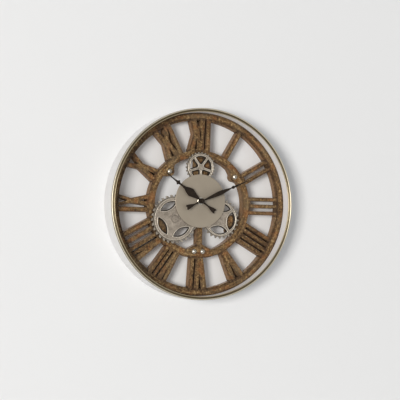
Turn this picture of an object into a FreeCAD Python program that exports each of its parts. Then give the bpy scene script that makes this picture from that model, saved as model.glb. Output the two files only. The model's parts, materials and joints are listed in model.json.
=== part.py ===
import FreeCAD, Part
import math
import os

# A round wall clock: a formed metal rim, an openwork wooden dial with roman numerals, three metal
# gears behind a plain centre disc, two hands, and a battery movement behind the wooden hub.
# Millimetres. The origin is the centre of the rim on the wall. X points right, Y into the wall and
# Z up, so the front of the clock is at negative Y. Clock angles run clockwise from the top.

# General
OVERRUN = 1.0
FACE_GAP = 0.1
RUNNING_FIT = 0.05
SCREW_FIT = 0.05

# Rim: one sheet, folded over the front and back inside to a flange that carries the dial
RIM_RADIUS = 172.5
RIM_DEPTH = 46.0
RIM_SHEET = 1.2
OUTER_BEAD_RADIUS = 1.25
INNER_BEAD_RADIUS = 0.7
GROOVE_WIDTH = 2.6
GROOVE_DEPTH = 2.0
LIP_DEPTH = 4.5
FLANGE_WIDTH = 8.0

# Wooden dial
DIAL_WALL_GAP = 5.0
DIAL_THICKNESS = 17.5
DIAL_PLAY = 0.2
OUTER_RING_WIDTH = 13.8
REBATE_WIDTH = 3.5
REBATE_DEPTH = 2.4
NUMERAL_HEIGHT = 54.5
INNER_RING_WIDTH = 12.5
TONGUE_THICKNESS = 2.3
TONGUE_PLAY = 0.2
TIE_WIDTH = 2.4
TONGUE_TIE_WIDTH = 1.8
HUB_SHARE = 0.4308
HUB_THICKNESS = 6.0
STRUT_OFFSET = 1.5
STRUT_WIDTH = 10.5
GUSSET_HALF_WIDTH = 23.0
GUSSET_HEIGHT = 12.5
MOVEMENT_PLAY = 1.2

# Centre disc, hands' axis and gears
AXIS_HEIGHT = 5.6
DISC_SHARE = 0.4944
DISC_THICKNESS = 1.5
GEAR_FACE_THICKNESS = 2.2
GEAR_WHEEL_THICKNESS = 2.3
SPACER_RADIUS = 11.0
WINDOW_STEP = 0.4
BOSS_THICKNESS = 1.2

# Places and radii of the gears and their windows, as shares of the inner ring's outer radius
TOP_GEAR_SHARES = {"x": 0.0, "z": 0.6821, "plate": 0.2533, "root": 0.2656, "tip": 0.2872, "boss": 0.0462}
LEFT_GEAR_SHARES = {"x": -0.4913, "z": -0.2882, "plate": 0.3949, "root": 0.4133, "tip": 0.4513,
                    "boss": 0.0615}
RIGHT_GEAR_SHARES = {"x": 0.4113, "z": -0.2626, "plate": 0.3210, "root": 0.3333, "tip": 0.3713,
                     "boss": 0.0}
LEFT_LENS_SHARES = {"length": 0.3641, "width": 0.1436, "radius": 0.2667}
RIGHT_LENS_SHARES = {"length": 0.3487, "width": 0.1641, "radius": 0.2103}
LEFT_LENS_ANGLE = 61
RIGHT_LENS_ANGLE = 9
LENS_COUNT = 4
TOP_TEETH = 26
LEFT_TEETH = 30
RIGHT_TEETH = 25
SPOKE_COUNT = 5
SPOKE_WIDTH = 3.6
SPOKE_RIM_WIDTH = 3.8
SPOKE_HUB_RADIUS = 5.6
SPOKE_FIRST_ANGLE = 36

# Fasteners
DIAL_SCREW = {"head": 3.0, "head_height": 1.6, "shank": 1.5, "length": 12.0}
DIAL_SCREW_COUNT = 6
DIAL_SCREW_FIRST_ANGLE = 30.0
DOME_SCREW = {"head": 4.4, "head_height": 3.4, "shank": 1.5, "length": 12.0}
GEAR_SCREW = {"head": 2.2, "head_height": 1.3, "shank": 1.0}
GEAR_SCREW_BITE = 1.8
TOP_SCREW_ANGLES = (0, 180)
LEFT_SCREW_ANGLES = (46, 238)
RIGHT_SCREW_ANGLES = (296, 322)
RIVET_RADIUS = 1.5
UPPER_LEFT_PAD = {"angle": -45.15, "beyond_bore": -3.47, "pad": 8.8, "left": 15.5, "right": 15.5}
UPPER_RIGHT_PAD = {"angle": 52.94, "beyond_bore": 0.46, "pad": 8.5, "left": 19.0, "right": 13.5}
BOTTOM_SCREW_SPACING = 16.4
BOTTOM_SCREW_BEYOND_BORE = 1.0
BUMPER_RADIUS = 3.8
BUMPER_ANGLE = 120.0

# Hanger: a pressed keyhole plate on the rim's flange at the top
HANGER = {"half_width": 14.0, "foot": 10.0, "below_feet": 17.38, "above_feet": 3.62, "sheet": 1.2,
          "wall_gap": 0.2}
KEYHOLE = {"entry": 4.25, "slot": 2.3, "entry_drop": 11.68, "slot_drop": 5.68}
HANGER_RIVET = {"shank": 1.0, "head": 2.0, "head_height": 0.6}
HANGER_RIVET_SPACING = 38.0

# Movement case
MOVEMENT_DEPTH = 16.0
CASE_WALL = 1.2
STEM_RADIUS = 4.0
STEM_BORE_RADIUS = 2.6
STEM_REACH = 3.5
WASHER = {"radius": 6.6, "thickness": 0.6}
NUT = {"radius": 6.35, "thickness": 2.0}
NUT_SIDES = 6
PIVOT_DEPTH = 0.8
BATTERY = {"radius": 7.1, "length": 50.5, "button": 2.7, "button_height": 1.0}
BATTERY_PLAY = 0.15
CONTACT_ROOM = 1.55
CONTACT_SHEET = 0.5

# Going train and motion work, in layers behind the case's front plate
HOUR_LAYER = 0
MOTION_LAYER = 1
MINUTE_LAYER = 2
THIRD_LAYER = 3
SECOND_LAYER = 4
FIFTH_LAYER = 5
ROTOR_LAYER = 6
LAYER_CLEARANCE = 0.3
LAYER_STEP = 1.6
WHEEL_THICKNESS = 0.9
PINION_OVERLAP = 0.1
ARBOR_RADIUS = 0.45
HOUR_TUBE_RADIUS = 2.5
HOUR_TUBE_BORE_RADIUS = 1.7
MINUTE_ARBOR_RADIUS = 1.6
STUD_RADIUS = 0.7
MOTION_MODULE = 0.35
HOUR_MODULE = 0.336
MINUTE_MODULE = 0.2647
SECOND_MODULE = 0.25
FIFTH_MODULE = 0.26
ROTOR_MODULE = 0.22
CANNON_TEETH = 12
MOTION_TEETH = 36
MOTION_PINION_TEETH = 10
HOUR_TEETH = 40
MINUTE_TEETH = 60
THIRD_PINION_TEETH = 8
THIRD_TEETH = 64
SECOND_PINION_TEETH = 8
SECOND_TEETH = 60
FIFTH_PINION_TEETH = 10
FIFTH_TEETH = 50
ROTOR_PINION_TEETH = 10
MAGNET = {"radius": 2.9, "thickness": 1.6, "hole": 3.2}
STATOR = {"half_width": 10.0, "bottom": 11.5, "yoke": 19.6, "bar": 22.6, "top": 24.2, "leg": 2.0,
          "sheet": 0.8}
COIL = {"radius": 2.6, "half_length": 7.5, "play": 0.1}
COIL_ROOM = 0.8
BOARD = {"left": 12.0, "right": 26.0, "bottom": 15.5, "top": 26.0, "thickness": 0.8}
CRYSTAL = {"radius": 1.0, "length": 6.0}
POST_RADIUS = 1.0
KNOB = {"radius": 6.0, "thickness": 1.6, "hub": 1.5, "recess": 6.4, "wall": 0.8, "angle": 67.5}
KNOB_SINK = 0.4

# Hands, at ten past ten as they stand on the dial
HAND_THICKNESS = 0.8
HOUR_HAND_RISE = 4.7
MINUTE_HAND_RISE = 8.7
HAND_FIT = 0.02
HOUR_HAND = {"tip": 83.0, "width": 15.6, "tail": 33.5, "angle": 305.5}
MINUTE_HAND = {"tip": 123.0, "width": 8.2, "tail": 33.5, "angle": 66.0}
HAND_HUB_RADIUS = 4.6
TAIL_WIDTH = 11.0
CAP = {"radius": 2.2, "height": 3.0}
ARBOR_END = 1.6

# Clock angles
TWELVE_OCLOCK = 0
THREE_OCLOCK = 90
SIX_OCLOCK = 180
NINE_OCLOCK = 270
HOUR_ANGLE = 30

# Planes and radii, from the values above
RIM_FRONT = -RIM_DEPTH
DIAL_BACK = RIM_FRONT + RIM_DEPTH - DIAL_WALL_GAP
DIAL_FRONT = DIAL_BACK - DIAL_THICKNESS
DIAL_RADIUS = RIM_RADIUS - 2 * OUTER_BEAD_RADIUS - GROOVE_WIDTH - 2 * INNER_BEAD_RADIUS - DIAL_PLAY
OPENING_RADIUS = DIAL_RADIUS - OUTER_RING_WIDTH
INNER_RING_RADIUS = OPENING_RADIUS - NUMERAL_HEIGHT
NUMERAL_UNIT_SHARE = 0.559
NUMERAL_UNIT = INNER_RING_RADIUS * NUMERAL_UNIT_SHARE
RING_BORE_RADIUS = INNER_RING_RADIUS - INNER_RING_WIDTH
HUB_RADIUS = INNER_RING_RADIUS * HUB_SHARE
DISC_RADIUS = INNER_RING_RADIUS * DISC_SHARE
WHEEL_FRONT = DIAL_FRONT - GEAR_WHEEL_THICKNESS
DISC_BACK = WHEEL_FRONT - GEAR_FACE_THICKNESS
DISC_FRONT = DISC_BACK - DISC_THICKNESS
CASE_FRONT = DIAL_FRONT + HUB_THICKNESS
CASE_INSIDE = CASE_FRONT + CASE_WALL
COVER_BACK = CASE_FRONT + MOVEMENT_DEPTH
COVER_FRONT = COVER_BACK - CASE_WALL
STEM_END = DISC_FRONT - STEM_REACH
HOUR_HAND_BACK = DISC_FRONT - HOUR_HAND_RISE
MINUTE_HAND_BACK = DISC_FRONT - MINUTE_HAND_RISE
BATTERY_HALF_SIDE = BATTERY["length"] / 2 + CONTACT_ROOM + CASE_WALL
MOTOR_HALF_SIDE = (STATOR["bar"] + STATOR["top"]) / 2 + COIL["radius"] + COIL_ROOM + CASE_WALL
HALF_SIDE = max(BATTERY_HALF_SIDE, MOTOR_HALF_SIDE)
CENTRE = (0.0, AXIS_HEIGHT)
BATTERY_Z = AXIS_HEIGHT - HALF_SIDE + CASE_WALL + BATTERY_PLAY + BATTERY["radius"]
BATTERY_Y = CASE_INSIDE + BATTERY_PLAY + BATTERY["radius"]
SEPARATOR_BOTTOM = BATTERY_Z + BATTERY["radius"] + BATTERY_PLAY
Y_AXIS = FreeCAD.Vector(0, 1, 0)

# Strokes of the numerals, as shares of the numeral unit across and of the height up, from the
# foot (0) to the head (1).
# A bar is left and right at the foot, then left and right at the head.
# A vee adds its notch: left, right and point across, and the point's height.
# An ex has its waist (left, right, height) and two notches, at the head and at the foot.
NUMERAL_SHARES = {
    1: [("bar", -.087, .087, -.087, .087)],
    2: [("bar", -.165, -.037, -.165, -.037), ("bar", .088, .217, .088, .217)],
    3: [("bar", -.283, -.161, -.283, -.161), ("bar", -.051, .070, -.051, .070),
        ("bar", .180, .301, .180, .301)],
    4: [("bar", -.349, -.231, -.349, -.231), ("bar", -.156, -.039, -.156, -.039),
        ("bar", .039, .156, .039, .156), ("bar", .231, .349, .231, .349)],
    5: [("vee", -.128, .128, -.275, .275, (-.064, .064, .004, .45))],
    6: [("vee", -.176, .070, -.316, .141, (-.125, -.033, -.070, .596)),
        ("bar", .143, .268, .178, .323)],
    7: [("vee", -.261, -.059, -.316, .033, (-.187, -.150, -.141, .505)),
        ("bar", -.004, .106, .088, .207), ("bar", .143, .284, .253, .394)],
    8: [("vee", -.462, -.261, -.628, -.279, (-.426, -.371, -.400, .596)),
        ("bar", -.206, -.086, -.224, -.105), ("bar", .033, .171, .033, .171),
        ("bar", .275, .440, .290, .455)],
    9: [("bar", -.308, -.150, -.308, -.150),
        ("ex", -.110, .266, -.119, .248, (-.033, .132, .596), (-.018, .147, .050, .706),
         (.028, .128, .062, .321))],
    10: [("ex", -.226, .226, -.257, .257, (-.110, .110, .578), (-.119, .119, 0, .706),
          (-.051, .051, 0, .321))],
    11: [("ex", -.277, .180, -.261, .235, (-.150, .070, .505), (-.122, .097, -.035, .706),
          (-.100, .009, -.042, .321)),
         ("bar", .160, .325, .218, .365)],
    12: [("ex", -.394, .073, -.371, .070, (-.251, -.031, .541), (-.150, -.022, -.110, .798),
          (-.206, -.114, -.141, .376)),
         ("bar", .017, .117, .015, .143), ("bar", .163, .338, .198, .358)],
}
STROKE_FOOT_SHARE = -0.12
STROKE_HEAD_SHARE = 1.12

# Half outlines of the hands from the hub to the tip: a step of two is a straight line to
# (half width, distance), a step of four is an arc through the first pair to the second.
# Half widths are shares of the hand's half width, distances shares of its length.
HOUR_HAND_SHARES = [(.30, .10), (.58, .19, 1, .30), (.74, .39, .30, .475), (.33, .50), (.22, .53),
                    (.20, .61), (.31, .64), (.64, .665), (.31, .695), (.20, .72), (.15, .80),
                    (.07, 1)]
MINUTE_HAND_SHARES = [(.36, .06), (.62, .14, 1, .29), (.72, .40, .24, .485), (.30, .50),
                      (.74, .53), (.36, .56), (.52, .585), (.30, .63), (.30, .69), (.13, .76),
                      (.07, 1)]
TAIL_SHARES = [(.30, .15), (.24, .48), (.62, .72), (.80, .84), (.72, .86), (1, .95), (.70, .93),
               (.56, 1), (.26, .94)]
LOBE_SIDE_SHARE = 0.87
LOBE_DROP_SHARE = 0.5
LOBE_CURVE_SHARE = 0.42
ROUND_TOOTH_SHARES = [(.10, 0), (.20, .80), (.30, 1), (.50, 1), (.60, .80), (.70, 0)]
FIN_TOOTH_SHARES = [(.10, 0), (.02, .80), (.16, 1), (.52, .72), (.62, .30), (.60, 0)]
CUT_TOOTH_SHARES = [(.16, 0), (.34, .85), (.44, 1), (.56, .85), (.76, 0)]
TRAIN_TOOTH_SHARES = [(-.24, 0), (-.10, 1), (.10, 1), (.24, 0)]
ADDENDUM_SHARE = 0.75
DEDENDUM_SHARE = 1.1


def vector(x, y, z):
    return FreeCAD.Vector(x, y, z)


def clock_point(radius, angle, centre=(0, 0)):
    """The point at a radius and a clock angle: x = r sin a, z = r cos a."""
    turn = math.radians(angle)
    return centre[0] + radius * math.sin(turn), centre[1] + radius * math.cos(turn)


def cylinder(radius, front, back, centre=(0, 0)):
    return Part.makeCylinder(radius, back - front, vector(centre[0], front, centre[1]), Y_AXIS)


def tube(outer, inner, front, back, centre=(0, 0)):
    bore = cylinder(inner, front - OVERRUN, back + OVERRUN, centre)
    return cylinder(outer, front, back, centre).cut(bore)


def box(left, right, front, back, bottom, top):
    return Part.makeBox(right - left, back - front, top - bottom, vector(left, front, bottom))


def in_front(x, z):
    return vector(x, 0, z)


def in_section(radius, depth):
    return vector(radius, depth, 0)


def path_wire(start, steps, place=in_front):
    """A closed wire through straight steps (a, b) and arc steps (a, b, a, b)."""
    edges = []
    here = place(*start)
    for step in steps:
        there = place(*step[-2:])
        if len(step) == 4:
            edges.append(Part.Arc(here, place(*step[:2]), there).toShape())
        elif here.distanceToPoint(there) > 0:
            edges.append(Part.LineSegment(here, there).toShape())
        here = there
    return Part.Wire(edges)


def prism(start, steps, front, back):
    """A solid with the outline of path_wire between two Y planes."""
    wire = path_wire(start, steps)
    wire.translate(vector(0, front, 0))
    return Part.Face(wire).extrude(vector(0, back - front, 0))


def polygon(points, front, back):
    return prism(points[-1], points, front, back)


def turned(shape, angle, centre=(0, 0)):
    """The shape turned clockwise, as seen from the front, about an axis along Y."""
    shape.rotate(vector(centre[0], 0, centre[1]), Y_AXIS, angle)
    return shape


def moved(shape, centre):
    shape.translate(vector(centre[0], 0, centre[1]))
    return shape


def fused(shapes):
    return shapes[0].multiFuse(shapes[1:]).removeSplitter() if len(shapes) > 1 else shapes[0]


def screw_from_behind(head_front, size, tip, centre):
    """A screw along Y with its head behind and its shank reaching forward to the tip plane."""
    head = cylinder(size["head"], head_front, head_front + size["head_height"], centre)
    return head.fuse(cylinder(size["shank"], tip, head_front, centre)).removeSplitter()


def dial_screw_points():
    middle = DIAL_RADIUS + DIAL_PLAY - FLANGE_WIDTH / 2
    step = 360 / DIAL_SCREW_COUNT
    return [clock_point(middle, DIAL_SCREW_FIRST_ANGLE + step * k) for k in range(DIAL_SCREW_COUNT)]


def hanger_rivet_points():
    middle = DIAL_RADIUS + DIAL_PLAY - FLANGE_WIDTH / 2
    half = HANGER_RIVET_SPACING / 2
    height = math.sqrt(middle ** 2 - half ** 2)
    return [(-half, height), (half, height)]


def dome_screw_points():
    half = BOTTOM_SCREW_SPACING / 2
    bottom = -math.sqrt((RING_BORE_RADIUS + BOTTOM_SCREW_BEYOND_BORE) ** 2 - half ** 2)
    upper = [clock_point(RING_BORE_RADIUS + pad["beyond_bore"], pad["angle"])
             for pad in (UPPER_LEFT_PAD, UPPER_RIGHT_PAD)]
    return upper + [(-half, bottom), (half, bottom)]


def sized(shares):
    """The lengths of a table of shares of the inner ring's outer radius."""
    return {title: share * INNER_RING_RADIUS for title, share in shares.items()}


TOP_GEAR = dict(sized(TOP_GEAR_SHARES), teeth=TOP_TEETH)
LEFT_GEAR = dict(sized(LEFT_GEAR_SHARES), teeth=LEFT_TEETH)
RIGHT_GEAR = dict(sized(RIGHT_GEAR_SHARES), teeth=RIGHT_TEETH)
LEFT_LENS = dict(sized(LEFT_LENS_SHARES), angle=LEFT_LENS_ANGLE)
RIGHT_LENS = dict(sized(RIGHT_LENS_SHARES), angle=RIGHT_LENS_ANGLE)


def gear_centre(gear):
    return gear["x"], gear["z"]


def gear_screw_points():
    """Each gear is held by two screws in the metal between its windows and its teeth."""
    top_reach = TOP_GEAR["plate"] - SPOKE_RIM_WIDTH / 2
    left_reach = (LEFT_GEAR["plate"] + LEFT_LENS["radius"] + LEFT_LENS["width"] / 2) / 2
    right_reach = (RIGHT_GEAR["plate"] + RIGHT_LENS["radius"] + RIGHT_LENS["width"] / 2) / 2
    places = ((TOP_GEAR, top_reach, TOP_SCREW_ANGLES), (LEFT_GEAR, left_reach, LEFT_SCREW_ANGLES),
              (RIGHT_GEAR, right_reach, RIGHT_SCREW_ANGLES))
    return [clock_point(reach, angle, gear_centre(gear)) for gear, reach, angles in places
            for angle in angles]


def gear_screw_seat(point):
    """The wooden face behind a gear screw: the thin hub's back or the ring's back."""
    from_axis = math.hypot(point[0] - CENTRE[0], point[1] - CENTRE[1])
    return DIAL_FRONT + HUB_THICKNESS if from_axis < HUB_RADIUS else DIAL_BACK


def make_rim():
    """The rim turned from its section: beads and groove in front, hollow behind, flange inside."""
    outer = RIM_RADIUS
    groove_outer = outer - 2 * OUTER_BEAD_RADIUS
    groove_inner = groove_outer - GROOVE_WIDTH
    inner = groove_inner - 2 * INNER_BEAD_RADIUS
    back = RIM_FRONT + RIM_DEPTH
    outer_bead = RIM_FRONT + OUTER_BEAD_RADIUS
    inner_bead = RIM_FRONT + INNER_BEAD_RADIUS
    start = (outer, back)
    steps = [
        (outer, outer_bead),
        (outer - OUTER_BEAD_RADIUS, RIM_FRONT, groove_outer, outer_bead),
        (groove_outer - GROOVE_WIDTH / 2, RIM_FRONT + GROOVE_DEPTH, groove_inner, inner_bead),
        (groove_inner - INNER_BEAD_RADIUS, RIM_FRONT, inner, inner_bead),
        (inner, DIAL_BACK),
        (inner - FLANGE_WIDTH, DIAL_BACK),
        (inner - FLANGE_WIDTH, DIAL_BACK + RIM_SHEET),
        (inner + RIM_SHEET, DIAL_BACK + RIM_SHEET),
        (inner + RIM_SHEET, RIM_FRONT + LIP_DEPTH),
        (outer - RIM_SHEET, RIM_FRONT + LIP_DEPTH),
        (outer - RIM_SHEET, back),
        start,
    ]
    rim = Part.Face(path_wire(start, steps, in_section)).revolve(vector(0, 0, 0), Y_AXIS, 360)
    holes = [cylinder(DIAL_SCREW["shank"] + SCREW_FIT, DIAL_BACK - OVERRUN, back, point)
             for point in dial_screw_points()]
    holes += [cylinder(HANGER_RIVET["shank"] + SCREW_FIT, DIAL_BACK - OVERRUN, back, point)
              for point in hanger_rivet_points()]
    return rim.cut(holes)


def envelope(tie=False):
    """The space a numeral fills: between the rings, and in the front rebate of the outer ring."""
    foot = INNER_RING_RADIUS + FACE_GAP
    head = OPENING_RADIUS - FACE_GAP
    tongue_head = OPENING_RADIUS + REBATE_WIDTH - TONGUE_PLAY
    tongue_back = DIAL_FRONT + TONGUE_THICKNESS
    if tie:
        body = tube(foot + TIE_WIDTH, foot, DIAL_FRONT, DIAL_BACK)
        return body, tube(tongue_head, tongue_head - TONGUE_TIE_WIDTH, DIAL_FRONT, tongue_back)
    body = tube(head, foot, DIAL_FRONT, DIAL_BACK)
    return body, tube(tongue_head, head - TIE_WIDTH, DIAL_FRONT, tongue_back)


def height_at(share):
    return INNER_RING_RADIUS + share * NUMERAL_HEIGHT


def across(share):
    return share * NUMERAL_UNIT


def stroke_points(left_foot, right_foot, left_head, right_head):
    """The four corners of a stroke, run on past both rings: u(v) = foot + (head - foot) v."""
    ends = (STROKE_FOOT_SHARE, STROKE_HEAD_SHARE)
    left = [(across(left_foot + (left_head - left_foot) * v), height_at(v)) for v in ends]
    right = [(across(right_foot + (right_head - right_foot) * v), height_at(v)) for v in ends]
    return left + right[::-1]


def notch_points(left, right, point, height, mouth):
    """A triangle from its point through the mouth's two corners and on past them."""
    grow = STROKE_HEAD_SHARE
    reach = height + (mouth - height) * grow
    return [(across(point), height_at(height)),
            (across(point + (left - point) * grow), height_at(reach)),
            (across(point + (right - point) * grow), height_at(reach))]


def stroke(kind, left_foot, right_foot, left_head, right_head, *more):
    """One letter of a numeral, as a prism through the dial's thickness."""
    if kind == "ex":
        left, right, height = more[0]
        foot, head = STROKE_FOOT_SHARE, STROKE_HEAD_SHARE
        points = [(across(left_foot), height_at(foot)), (across(left_foot), height_at(0)),
                  (across(left), height_at(height)), (across(left_head), height_at(1)),
                  (across(left_head), height_at(head)), (across(right_head), height_at(head)),
                  (across(right_head), height_at(1)), (across(right), height_at(height)),
                  (across(right_foot), height_at(0)), (across(right_foot), height_at(foot))]
        notches = [(more[1], 1), (more[2], 0)]
    else:
        points = stroke_points(left_foot, right_foot, left_head, right_head)
        notches = [(notch, 1) for notch in more]
    solid = polygon(points, DIAL_FRONT, DIAL_BACK)
    for notch, mouth in notches:
        cutter = notch_points(*notch, mouth)
        solid = solid.cut(polygon(cutter, DIAL_FRONT - OVERRUN, DIAL_BACK + OVERRUN))
    return solid


def make_numeral(hour):
    """One numeral at twelve o'clock, held together by a tie at its foot and one at its head."""
    strokes = [stroke(*values) for values in NUMERAL_SHARES[hour]]
    sides = [values[1:5] for values in NUMERAL_SHARES[hour]]
    whole = polygon(stroke_points(min(s[0] for s in sides), max(s[1] for s in sides),
                                  min(s[2] for s in sides), max(s[3] for s in sides)),
                    DIAL_FRONT, DIAL_BACK)
    pieces = [letter.common(space) for letter in strokes for space in envelope()]
    pieces += [whole.common(space) for space in envelope(tie=True)]
    return turned(fused(pieces), HOUR_ANGLE * hour)


def make_outer_wood_ring():
    ring = tube(DIAL_RADIUS, OPENING_RADIUS, DIAL_FRONT, DIAL_BACK)
    rebate = tube(OPENING_RADIUS + REBATE_WIDTH, OPENING_RADIUS - OVERRUN,
                  DIAL_FRONT - OVERRUN, DIAL_FRONT + REBATE_DEPTH)
    pilot = DIAL_SCREW["shank"] + SCREW_FIT
    depth = DIAL_SCREW["length"]
    holes = [cylinder(pilot, DIAL_BACK - depth, DIAL_BACK + OVERRUN, point)
             for point in dial_screw_points()]
    rivet_room = HANGER_RIVET["head"] + RUNNING_FIT
    holes += [cylinder(rivet_room, DIAL_BACK - OVERRUN, DIAL_BACK + OVERRUN, point)
              for point in hanger_rivet_points()]
    return ring.cut([rebate] + holes)


def make_lobe(pad):
    """A round pad on the ring's inner edge, run into the ring by a hollow curve on each side."""
    reach = RING_BORE_RADIUS + pad["beyond_bore"]
    root = RING_BORE_RADIUS + INNER_RING_WIDTH / 2
    side = pad["pad"] * LOBE_SIDE_SHARE
    drop = reach - pad["pad"] * LOBE_DROP_SHARE

    def foot(width):
        return math.sqrt(RING_BORE_RADIUS ** 2 - width ** 2)

    def middle(width):
        rise = (foot(width) - drop) * (1 - LOBE_CURVE_SHARE)
        return side + (width - side) * LOBE_CURVE_SHARE, drop + rise

    left, right = pad["left"], pad["right"]
    left_mid, right_mid = middle(left), middle(right)
    start = (-left, root)
    steps = [(-left, foot(left)), (-left_mid[0], left_mid[1], -side, drop), (side, drop),
             (right_mid[0], right_mid[1], right, foot(right)), (right, root), start]
    web = prism(start, steps, DIAL_FRONT, DIAL_BACK)
    disc = cylinder(pad["pad"], DIAL_FRONT, DIAL_BACK, (0, reach))
    return turned(web.fuse(disc), pad["angle"])


def make_inner_wood_ring():
    """The inner ring with its lobes, its strut and the thin hub that the movement sits behind."""
    ring = tube(INNER_RING_RADIUS, RING_BORE_RADIUS, DIAL_FRONT, DIAL_BACK)
    hub = cylinder(HUB_RADIUS, DIAL_FRONT, DIAL_FRONT + HUB_THICKNESS, CENTRE)
    half = STRUT_WIDTH / 2
    left, right = STRUT_OFFSET - half, STRUT_OFFSET + half
    case_bottom = AXIS_HEIGHT - HALF_SIDE - MOVEMENT_PLAY
    foot = -RING_BORE_RADIUS - INNER_RING_WIDTH / 2
    strut = box(left, right, DIAL_FRONT, DIAL_BACK, foot, case_bottom)
    neck = box(left, right, DIAL_FRONT, DIAL_FRONT + HUB_THICKNESS, case_bottom - OVERRUN, AXIS_HEIGHT)
    spread = GUSSET_HALF_WIDTH
    spread_z = -math.sqrt(RING_BORE_RADIUS ** 2 - spread ** 2)
    shoulder = -RING_BORE_RADIUS + GUSSET_HEIGHT
    gusset = polygon([(left, shoulder), (right, shoulder), (STRUT_OFFSET + spread, spread_z),
                      (STRUT_OFFSET + spread, foot), (STRUT_OFFSET - spread, foot),
                      (STRUT_OFFSET - spread, spread_z)], DIAL_FRONT, DIAL_BACK)
    inside = cylinder(INNER_RING_RADIUS - FACE_GAP, DIAL_FRONT, DIAL_BACK)
    lobes = [make_lobe(UPPER_LEFT_PAD), make_lobe(UPPER_RIGHT_PAD)]
    wood = fused([ring, hub, neck] + [piece.common(inside) for piece in [strut, gusset] + lobes])
    holes = [cylinder(STEM_RADIUS + FACE_GAP, DIAL_FRONT - OVERRUN, DIAL_BACK, CENTRE)]
    pilot = DOME_SCREW["shank"] + SCREW_FIT
    tip = DIAL_FRONT + DOME_SCREW["length"]
    holes += [cylinder(pilot, DIAL_FRONT - OVERRUN, tip, point) for point in dome_screw_points()]
    bore = GEAR_SCREW["shank"] + SCREW_FIT
    sink = GEAR_SCREW["head"] + SCREW_FIT
    for point in gear_screw_points():
        seat = gear_screw_seat(point)
        holes.append(cylinder(bore, DIAL_FRONT - OVERRUN, DIAL_BACK + OVERRUN, point))
        holes.append(cylinder(sink, seat - GEAR_SCREW["head_height"], DIAL_BACK + OVERRUN, point))
    return wood.cut(holes)


def make_domed_screws():
    """Ball-headed screws: each head is the cap of a sphere of radius (r^2 + h^2) / 2h."""
    radius, height = DOME_SCREW["head"], DOME_SCREW["head_height"]
    ball = (radius ** 2 + height ** 2) / (2 * height)
    solids = []
    for point in dome_screw_points():
        sphere = Part.makeSphere(ball, vector(point[0], DIAL_FRONT - height + ball, point[1]))
        room = cylinder(ball, DIAL_FRONT - height - OVERRUN, DIAL_FRONT, point)
        tip = DIAL_FRONT + DOME_SCREW["length"]
        shank = cylinder(DOME_SCREW["shank"], DIAL_FRONT - height / 2, tip, point)
        solids.append(sphere.common(room).fuse(shank).removeSplitter())
    return Part.makeCompound(solids)


def make_dial_screws():
    head_front = DIAL_BACK + RIM_SHEET
    tip = DIAL_BACK - DIAL_SCREW["length"] + FACE_GAP
    solids = [screw_from_behind(head_front, DIAL_SCREW, tip, point) for point in dial_screw_points()]
    return Part.makeCompound(solids)


def make_gear_screws():
    tip = WHEEL_FRONT + GEAR_WHEEL_THICKNESS - GEAR_SCREW_BITE + FACE_GAP
    solids = []
    for point in gear_screw_points():
        head_front = gear_screw_seat(point) - GEAR_SCREW["head_height"]
        solids.append(screw_from_behind(head_front, GEAR_SCREW, tip, point))
    return Part.makeCompound(solids)


def toothed_outline(count, root, tip, shares):
    """Points of a toothed edge: shares across one pitch, and from the root (0) to the tip (1)."""
    pitch = 360 / count
    return [clock_point(root + (tip - root) * rise, pitch * (k + turn))
            for k in range(count) for turn, rise in shares]


def lens(size, angle, margin, front, back):
    """A lens-shaped window: two arcs between corners, its length along the gear's edge."""
    half = size["length"] / 2 + margin
    bulge = size["width"] / 2 + margin
    reach = size["radius"]
    window = prism((-half, reach), [(0, reach + bulge, half, reach), (0, reach - bulge, -half, reach)],
                   front - OVERRUN, back + OVERRUN)
    return turned(window, angle)


def lens_windows(size, margin, front, back):
    return [lens(size, size["angle"] + 360 / LENS_COUNT * k, margin, front, back)
            for k in range(LENS_COUNT)]


def spoke_windows(gear, margin, front, back):
    """The openings between the spokes: a ring without its spokes, one piece for each opening."""
    outer = gear["plate"] - SPOKE_RIM_WIDTH + margin
    ring = tube(outer, SPOKE_HUB_RADIUS - margin, front - OVERRUN, back + OVERRUN)
    half = SPOKE_WIDTH / 2 - margin
    reach = gear["plate"]
    spokes = [turned(box(-half, half, front - 2 * OVERRUN, back + 2 * OVERRUN, 0, reach),
                     SPOKE_FIRST_ANGLE + 360 / SPOKE_COUNT * k) for k in range(SPOKE_COUNT)]
    return [ring.cut(spokes)]


def gear_windows(gear, margin, front, back):
    if gear is TOP_GEAR:
        return spoke_windows(gear, margin, front, back)
    size = LEFT_LENS if gear is LEFT_GEAR else RIGHT_LENS
    return lens_windows(size, margin, front, back)


def make_gear_face(gear):
    """The plain plate on the gear's front, cut with the gear's windows and a hole for its rivet."""
    plate = cylinder(gear["plate"], DISC_BACK, WHEEL_FRONT)
    rivet = cylinder(RIVET_RADIUS + SCREW_FIT, DISC_BACK - OVERRUN, WHEEL_FRONT + OVERRUN)
    return moved(plate.cut(gear_windows(gear, 0, DISC_BACK, WHEEL_FRONT) + [rivet]), gear_centre(gear))


def make_gear_wheel(gear, tooth_shares):
    """The toothed wheel behind the plate, with the same windows a little wider."""
    teeth = toothed_outline(gear["teeth"], gear["root"], gear["tip"], tooth_shares)
    wheel = polygon(teeth, WHEEL_FRONT, DIAL_FRONT)
    rivet = cylinder(RIVET_RADIUS + SCREW_FIT, WHEEL_FRONT - OVERRUN, DIAL_FRONT + OVERRUN)
    cut = wheel.cut(gear_windows(gear, WINDOW_STEP, WHEEL_FRONT, DIAL_FRONT) + [rivet])
    placed = moved(cut, gear_centre(gear))
    bore = GEAR_SCREW["shank"] + SCREW_FIT
    holes = [cylinder(bore, DIAL_FRONT - GEAR_SCREW_BITE, DIAL_FRONT + OVERRUN, point)
             for point in gear_screw_points()]
    return placed.cut(holes)


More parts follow.
